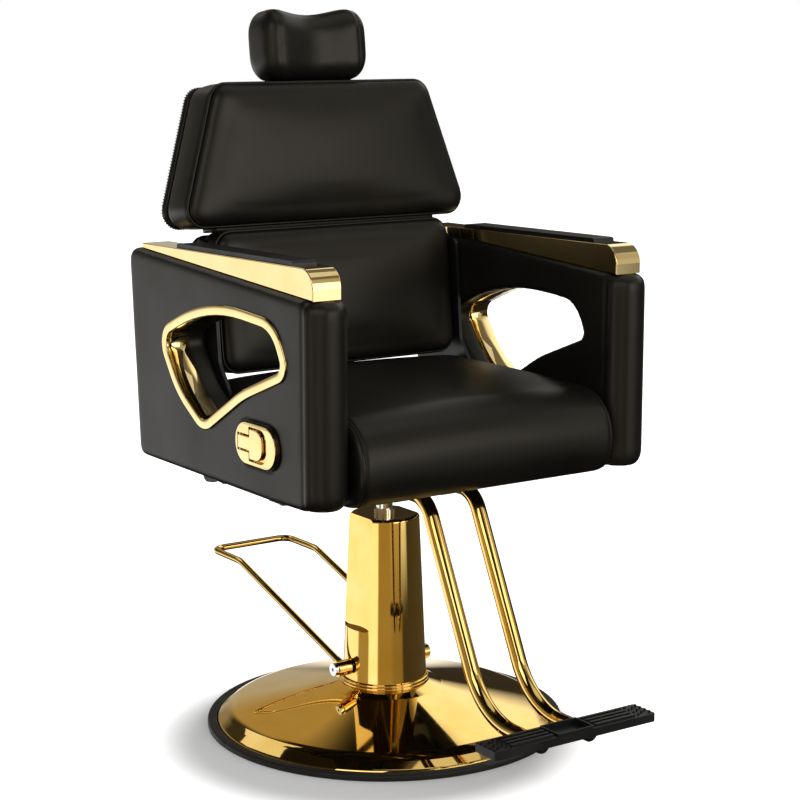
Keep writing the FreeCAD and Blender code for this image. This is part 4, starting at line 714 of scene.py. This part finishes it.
armPanel = {
    "voxel": 0.0045,
    "seam": -0.2655,  # where the front roll meets the flat side
    "seamWide": 0.0045,
    "seamDeep": 0.0018,
    "inner": 0.249,
    "outer": 0.321,
    "front": -0.300,
    "rollSwell": (0.0008, 0.0016),  # how far the roll stands out on its inner and outer side
    "squareness": (7, 3.0),  # section of the roll, as cut and as stuffed
    "rollFoot": 0.026,  # heights over which the foot and head of the roll draw in
    "rollHead": 0.018,
    "drawIn": 0.35,  # how far they do
    "blend": (0.003, 0.007),  # from this far behind the seam, over this width
    "evened": (0.002, 0.006),  # the same for the rounds that smooth the roll
    "wave": (0.0003, 14),  # depth and fineness of the waves in the flat sides
    "low": 0.450,
    "top": 0.768,
}

armWindow = {
    "cut": [(0, 0.723, 0.450), (-0.180, 0.713, 0.055), (-0.214, 0.661, 0.013), (-0.100, 0.616, 0.300),
            (0.044, 0.533, 0.022), (0.127, 0.592, 0.160), (0.170, 0.662, 0.022)],  # as the plain panel has it
    "opening": [(0.010, 0.727, 0.450), (-0.181, 0.715, 0.055), (-0.212, 0.659, 0.014), (-0.090, 0.612, 0.330),
                (0.031, 0.542, 0.032), (0.108, 0.588, 0.150), (0.161, 0.663, 0.022)],
    "middle": (-0.02, 0.665),
    "reach": (1.05, 1.3),  # how far out the panel follows, in shares of the distance from the middle
    "section": [(0.016, -0.0006), (0.016, 0.0019), (0.0154, 0.0027), (0.0144, 0.003), (0.0014, 0.003), (0.0005, 0.0026),
                (0, 0.0018), (0, -0.0372), (0.0006, -0.038), (0.003, -0.038), (0.003, -0.0006)],  # outwards, out of the face
}


def superEllipse(angle, power):
    return (abs(math.cos(angle)) ** power + abs(math.sin(angle)) ** power) ** (-1 / power)


def fitWindow(piece, look):
    # draws the panel's window to the outline of the trim
    places = placesOf(piece)
    y, z = places[:, 1] - look["middle"][0], places[:, 2] - look["middle"][1]
    angles, reach = numpy.arctan2(z, y), numpy.hypot(y, z)
    radii = []
    for outline in (look["cut"], look["opening"]):
        loop = evenPath([(a, b, 0) for a, b in roundedLine(outline)], 0.002, closed=True)
        loop = numpy.array([point[:2] for point in loop]) - look["middle"]
        radii.append(numpy.interp(angles, numpy.arctan2(loop[:, 1], loop[:, 0]), numpy.hypot(loop[:, 0], loop[:, 1]),
                                  period=math.tau))
    old, new = radii
    near, far = look["reach"]
    share = numpy.clip((reach / old - near) / (far - near), 0, 1)
    scale = 1 + (new / old - 1) * (1 - share * share * (3 - 2 * share))
    places[:, 1] = look["middle"][0] + y * scale
    places[:, 2] = look["middle"][1] + z * scale
    putPlaces(piece, places)


def makeArm(side, sign):
    look = armPanel
    arm = copyOfSolid("armPanel" + side, "arm_" + side.lower(), pressedLeather)
    evenMesh(arm, look["voxel"], 9)
    fitWindow(arm, armWindow)
    middle, half = (look["inner"] + look["outer"]) / 2, (look["outer"] - look["inner"]) / 2
    deep = look["seam"] - look["front"]
    normals = [vertex.normal.copy() for vertex in arm.data.vertices]
    head = max(vertex.co.z for vertex in arm.data.vertices if vertex.co.y < look["seam"] - 0.01)
    for vertex, normal in zip(arm.data.vertices, normals):
        point = vertex.co
        across, along = sign * point.x - middle, look["seam"] - point.y
        if along > -look["blend"][0]:
            share = min(1, (along + look["blend"][0]) / look["blend"][1])
            share = share * share * (3 - 2 * share)
            angle = math.atan2(max(0, along) / deep, across / half)
            scale = superEllipse(angle, look["squareness"][1]) / superEllipse(angle, look["squareness"][0])
            scale = 1 + (scale - 1) * share
            wider = 1 + look["rollSwell"][across > 0] / half * share
            foot = max(0, 1 - (point.z - look["low"]) / look["rollFoot"], 1 - (head - point.z) / look["rollHead"])
            drawn = 1 - look["drawIn"] * (1 - math.sqrt(1 - min(1, foot) ** 2)) * share
            point.x = sign * (middle + across * scale * wider * drawn)
            point.y = look["seam"] - (along * scale * drawn if along > 0 else along)
        elif abs(normal.x) > 0.7:
            point += normal * look["wave"][0] * noise.noise(point * look["wave"][1])  # board under thin foam
    places = placesOf(arm)
    share = numpy.clip((look["seam"] - look["evened"][0] - places[:, 1:2]) / look["evened"][1], 0, 1)
    putPlaces(arm, places + (evenOut(arm, places, 8) - places) * share)
    subdivide(arm)
    loop = roundedLine([(middle - half, look["low"], 0.01), (middle + half, look["low"], 0.01),
                        (middle + half, look["top"], 0.01), (middle - half, look["top"], 0.01)])
    guide = evenPath([(sign * x, look["seam"] + 0.001, z) for x, z in loop], 0.003, closed=True)
    path, skin = onSurface(arm, guide, 0)
    pressSeam(arm, path, look["seamWide"], look["seamDeep"])
    if side == "Right":
        pressSeam(arm, plateRim(0.002, 0.003), 0.0035, 0.0018)
    finishSoft(arm, "seat", "arm_" + side.lower())


def makeWindowTrim(side, sign):
    # one pressed flange and liner
    look, face = armWindow, armPanel["outer"]
    loop = [point.xy for point in evenPath([(a, b, 0) for a, b in roundedLine(look["opening"])], 0.004, closed=True)]
    points = [(sign * (face + out), point.x, point.y) for wide, out in look["section"] for point in grown(loop, wide)]
    faces = wallFaces(len(look["section"]), len(loop), closed=True)
    trim = meshObject("windowTrim" + side, points, faces, metals["paleGoldPlatedSteel"])
    finishMetal(trim, "seat", "window_trim_" + side.lower())


# Release in the right arm

latch = {
    "height": 0.534,
    "face": 0.321,
    "plate": (-0.1965, -0.078, 0.0325, 0.0315),  # front end, rear end, half height, corner
    "thick": 0.007,
    "floor": 0.002,
    "tab": (-0.087, 0.0105, 0.002),  # rear end, half height, corner
    "paddle": (-0.158, -0.121, 0.0235, 0.003, 0.018),  # front end, rear end, half height, rear and front corners
    "gap": 0.0026,
    "fingerSlot": 0.0095,
    "paddleThick": 0.0038,
    "paddlePlace": 0.32667,  # middle of its thickness
    "edge": 0.0009,
}


def grown(loop, distance):
    # the loop moved outwards in its plane, or inwards by a distance below 0
    result = []
    for index, point in enumerate(loop):
        along = (loop[(index + 1) % len(loop)] - loop[index - 1]).normalized()
        result.append(point + Vector((along.y, -along.x)) * distance)
    return result


def plateLoop(margin=0.0):
    front, rear, half, corner = latch["plate"]
    low, high = latch["height"] - half - margin, latch["height"] + half + margin
    front, rear, corner = front - margin, rear + margin, corner + margin
    return roundedLine([(front, low, corner), (rear, low, corner), (rear, high, corner), (front, high, corner)],
                       arcSteps=14)


def plateRim(margin, step):
    return evenPath([(-latch["face"], a, b) for a, b in plateLoop(margin)], step, closed=True)


def paddleLoop(margin, slot):
    tabRear, tabHalf, tabCorner = latch["tab"]
    front, rear, half, neck, corner = latch["paddle"]
    front, rear, half = front - margin - slot, rear + margin, half + margin
    tabHalf, tabRear = tabHalf + margin, tabRear + margin
    middle = latch["height"]
    return roundedLine([(front, middle - half, corner), (rear, middle - half, neck), (rear, middle - tabHalf, 0.001),
                        (tabRear, middle - tabHalf, tabCorner), (tabRear, middle + tabHalf, tabCorner),
                        (rear, middle + tabHalf, 0.001), (rear, middle + half, neck), (front, middle + half, corner)])


def flatPiece(name, loops, middle, thick, edge, material):
    # a sheet with holes and softened edges, upright along the side of the arm
    curve = bpy.data.curves.new(name, "CURVE")
    curve.dimensions = "2D"
    curve.fill_mode = "BOTH"
    curve.extrude = thick / 2 - edge
    curve.bevel_depth = edge
    curve.bevel_resolution = 2
    curve.offset = -edge
    for loop in loops:
        spline = curve.splines.new("POLY")
        spline.points.add(len(loop) - 1)
        for point, at in zip(spline.points, loop):
            point.co = (at[0], at[1], 0, 1)
        spline.use_cyclic_u = True
    drawn = bpy.data.objects.new(name + "Outline", curve)
    scene.collection.objects.link(drawn)
    graph = bpy.context.evaluated_depsgraph_get()
    mesh = bpy.data.meshes.new_from_object(drawn.evaluated_get(graph))
    bpy.data.objects.remove(drawn)
    mesh.transform(Matrix(((0, 0, 1, middle), (1, 0, 0, 0), (0, 1, 0, 0), (0, 0, 0, 1))))
    mesh.materials.clear()
    mesh.materials.append(material)
    piece = bpy.data.objects.new(name, mesh)
    scene.collection.objects.link(piece)
    weld = piece.modifiers.new("weld", "WELD")
    weld.merge_threshold = 0.00002
    return settle(piece)


def makeLatch():
    face, thick, floor = latch["face"], latch["thick"], latch["floor"]
    hole = paddleLoop(latch["gap"], latch["fingerSlot"])
    plate = flatPiece("latchPlate", [plateLoop(), hole], -face - thick / 2, thick, latch["edge"],
                      metals["paleGoldPlatedSteel"])
    finishMetal(plate, "seat", "latch_plate")
    back = flatPiece("latchPocket", [paddleLoop(latch["gap"] + 0.002, latch["fingerSlot"])], -face - floor / 2, floor,
                     0.0004, metals["goldPlatedSteel"])
    finishMetal(back, "seat")
    paddle = flatPiece("latchPaddle", [paddleLoop(0, 0)], -latch["paddlePlace"], latch["paddleThick"], latch["edge"],
                       metals["paleGoldPlatedSteel"])
    finishMetal(paddle, "paddle", "latch_paddle")
    rim = tube("latchRim", plateRim(0.0012, 0.003), 0.0014, pipingLeather, closed=True)
    finishTrim(rim, "seat")


for side, sign in sides.items():
    makeArm(side, sign)
    makeWindowTrim(side, sign)
makeLatch()
print("arm panels, window trims and latch made")


# Backrest, in its own frame: +X to the sitter's left, +Y to the rear, +Z along the back

backPlace = Matrix.Translation((0, 0.110, 0.600)) @ Matrix.Rotation(math.radians(-6.5), 4, "X")

lowerBack = {
    "outline": [(-0.231, -0.002, 0.028), (0.231, -0.002, 0.028), (0.231, 0.231, 0.028), (-0.231, 0.231, 0.028)],
    "seamPlace": 0.017,  # depth of the front seam behind the front edge
    "rear": 0.0695,
    "edgeRise": 0.016,
    "edgeWide": 0.022,
    "crown": 0.010,
    "voxel": 0.005,
    "pressure": 3.0,
    "cap": 0.003,
    "pipingRadius": 0.0026,
}

upperBack = {
    "outline": [(-0.284, 0.2385, 0.03), (0.284, 0.2385, 0.03), (0.2095, 0.4715, 0.03), (-0.2095, 0.4715, 0.03)],
    "seamPlace": 0.025,
    "rear": 0.0995,
    "edgeRise": 0.018,
    "edgeWide": 0.024,
    "crown": 0.010,
    "voxel": 0.0055,
    "pressure": 3.0,
    "cap": 0.003,
    "pipingRadius": 0.0028,
}


def boxedForm(name, look):
    # rear face, boxing and a front that rises in a soft edge from its seam and then crowns gently
    loop = evenPath([(a, b, 0) for a, b in roundedLine(look["outline"])], 0.008, closed=True)
    loop = [point.xy for point in loop]
    centre = sum(loop, Vector((0, 0))) / len(loop)
    rear, seam = look["rear"], look["seamPlace"]
    rings = []
    for scale in (0.03, 0.25, 0.5, 0.75):
        rings.append(([centre + (point - centre) * scale for point in loop], rear))
    for inward, drop in ((0.012, 0), (0.005, 0.0005), (0.001, 0.004)):
        rings.append((grown(loop, -inward), rear - drop))
    for share in (0.1, 0.25, 0.4, 0.55, 0.7, 0.85, 0.95, 1):
        rings.append((grown(loop, 0.0016 * math.sin(share * math.pi)), rear - (rear - seam) * share))
    for step in range(1, 9):
        angle = math.pi / 2 * step / 8
        edge = grown(loop, -look["edgeWide"] * (1 - math.cos(angle)))
        rings.append((edge, seam - look["edgeRise"] * math.sin(angle)))
    (wide, low), (narrow, high) = look["outline"][1][:2], look["outline"][2][:2]
    border, front = look["edgeWide"], seam - look["edgeRise"]

    def crowned(point):
        half = wide + (narrow - wide) * (point.y - low) / (high - low) - border
        across, up = abs(point.x) / half, abs(2 * point.y - low - high) / (high - low - 2 * border)
        return front - look["crown"] * (1 - min(1, across) ** 2.2) * (1 - min(1, up) ** 2.2)

    points = [(point.x, y, point.y) for ring, y in rings for point in ring]
    for share in (0.96, 0.9, 0.82, 0.73, 0.63, 0.52, 0.41, 0.3, 0.19, 0.09, 0.02):
        rings.append(([centre + (point - centre) * share for point in edge], 0))
        points += [(point.x, crowned(point), point.y) for point in rings[-1][0]]
    caps = [tuple(reversed(face)) for face in capFaces(len(rings), len(loop))]
    return meshObject(name, points, wallFaces(len(rings), len(loop)) + caps, pressedLeather), loop


def makeBackCushion(name, node, look):
    cushion, loop = boxedForm(name, look)
    evenMesh(cushion, look["voxel"], 4)
    blowUp(cushion, lambda point: abs(point.y - look["seamPlace"]) < 0.004 or point.y > look["rear"] - 0.003,
           look["pressure"], look["cap"])
    subdivide(cushion)
    for vertex in cushion.data.vertices:
        vertex.co.y = min(vertex.co.y, look["rear"])

    def ringAt(y, outward, step):
        return evenPath([(point.x, y, point.y) for point in grown(loop, outward)], step, closed=True)

    pressSeam(cushion, ringAt(look["seamPlace"], 0, 0.003), 0.0045, 0.0030)
    piping = tube(name + "Piping", ringAt(look["seamPlace"], -0.0008, 0.004), look["pipingRadius"], pipingLeather,
                  closed=True)
    for piece in (cushion, piping):
        piece.data.transform(backPlace)
        piece.data.update()
    finishSoft(cushion, "back", node)
    finishTrim(piping, "back")


def makeBackPanel(name, node):
    # ply board covered in leather over thin felt
    panel = copyOfSolid(name, node, pressedLeather)
    evenMesh(panel, 0.004, 4)
    for vertex in panel.data.vertices:
        local = backPlace.inverted() @ vertex.co
        local.y += 0.0004 * noise.noise(local * 16)
        vertex.co = backPlace @ local
    subdivide(panel)
    finishSoft(panel, "back", node)


def makeFlushPanel(name, node, look):
    # the same, flush with the boxing, and its leather sewn over the rear edge
    loop = [point.xy for point in evenPath([(a, b, 0) for a, b in roundedLine(look["outline"])], 0.006, closed=True)]
    rear = look["rear"]
    section = [(-0.03, 0.0002), (-0.003, 0.0002), (0, 0.0006), (0, 0.0125), (-0.001, 0.0152), (-0.0035, 0.0172),
               (-0.007, 0.0178), (-0.03, 0.018)]
    points = [(point.x, rear + deep, point.y) for wide, deep in section for point in grown(loop, wide)]
    faces = capFaces(len(section), len(loop)) + wallFaces(len(section), len(loop), flipped=True)
    panel = meshObject(name, points, faces, pressedLeather)
    seam = evenPath([(point.x, rear + 0.0135, point.y) for point in grown(loop, 0.0002)], 0.0025, closed=True)
    ahead = [(seam[(index + 1) % len(seam)] - seam[index - 1]).normalized() for index in range(len(seam))]
    normals = [Vector((along.z, 0, -along.x)) for along in ahead]
    stitches = stitchRow(name + "Stitches", seam, normals, stitchLook)
    for piece in (panel, stitches):
        piece.data.transform(backPlace)
        piece.data.update()
    finishSoft(panel, "back", node)
    finishTrim(stitches, "back")


backGusset = {"half": 0.222, "front": 0.034, "rear": 0.0695, "low": 0.2300, "top": 0.2400}
backWing = {"inner": 0.2265, "outer": 0.2365, "front": 0.050, "rear": 0.0690, "low": 0.012, "top": 0.222}


def makeGusset(look):
    # the fold of leather that closes the gap between the two back cushions
    stations = [(x, [(look["front"] + inset, look["low"], 0.002), (look["rear"], look["low"], 0.002),
                     (look["rear"], look["top"], 0.002), (look["front"] + inset, look["top"], 0.002)])
                for x, inset in roundedEnds(look["half"], 0.01)]
    gusset = sideLoft("backGusset", stations, pressedLeather, 40)
    gusset.data.transform(backPlace)
    finishTrim(gusset, "back")


def makeWings(look):
    # the leather that closes the gap beside the lower cushion, in front of the recline bars
    for side, sign in sides.items():
        half = (look["outer"] - look["inner"]) / 2
        stations = []
        for x, inset in roundedEnds(half, 0.003, 4, 3):
            front, rear = look["front"] + inset, look["rear"] - inset
            low, top = look["low"] + inset, look["top"] - inset
            stations.append((sign * (look["inner"] + half) + x,
                             [(front, low, 0.004), (rear, low, 0.003), (rear, top, 0.003), (front, top, 0.004)]))
        wing = sideLoft("backWing" + side, stations, pressedLeather, 60)
        wing.data.transform(backPlace)
        finishTrim(wing, "back")


makeBackCushion("lowerBackCushion", "lower_cushion", lowerBack)
makeBackCushion("upperBackCushion", "upper_cushion", upperBack)
makeGusset(backGusset)
makeWings(backWing)
makeBackPanel("lowerBackPanel", "lower_board")
makeFlushPanel("upperBackPanel", "upper_board", upperBack)
print("back cushions made")


# Headrest

headrest = {
    "half": 0.101,
    "endRound": 0.036,
    "front": 0.014,  # places in the frame of the backrest
    "hollow": 0.016,
    "rear": 0.108,
    "low": 0.4735,
    "top": 0.5985,
    "dip": 0.012,
    "corner": 0.034,
    "voxel": 0.004,
    "seam": 0.078,  # distance of the end seams from the middle
    "outline": [(0.018, 0.4755, 0.03), (0.106, 0.4755, 0.03), (0.106, 0.594, 0.03), (0.018, 0.594, 0.03)],
    "seamWide": 0.0028,
    "seamDeep": 0.0009,
    "pressure": 2.5,
    "cap": 0.005,
}


def makeHeadrest():
    look = headrest
    stations = []
    for x, inset in roundedEnds(look["half"], look["endRound"], 9, 40):
        share = x / look["half"]
        bowl = 0.5 + 0.5 * math.cos(share * math.pi)
        front, rear = look["front"] + look["hollow"] * bowl + inset * 0.8, look["rear"] - inset * 0.8
        low, top = look["low"] + inset * 0.9, look["top"] - look["dip"] * bowl - inset * 0.9
        corner = look["corner"] - inset * 0.4
        stations.append((x, [(front, low, corner), (rear, low, corner), (rear, top, corner), (front, top, corner)]))
    pillow = sideLoft("headrestPillow", stations, pressedLeather)
    pillow.data.transform(backPlace)
    evenMesh(pillow, look["voxel"], 12)
    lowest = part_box("headrest_cushion")[0].z
    blowUp(pillow, lambda point: abs(abs(point.x) - look["seam"]) < 0.003 or point.z < lowest + 0.006,
           look["pressure"], look["cap"])
    subdivide(pillow)
    outline = roundedLine(look["outline"])
    for side, sign in sides.items():
        guide = evenPath([backPlace @ Vector((sign * look["seam"], y, z)) for y, z in outline], 0.003, closed=True)
        path, normals = onSurface(pillow, guide, 0)
        pressSeam(pillow, steadied(path, closed=True), look["seamWide"], look["seamDeep"])
    finishSoft(pillow, "headrest", "headrest_cushion")


makeHeadrest()
print("headrest made")
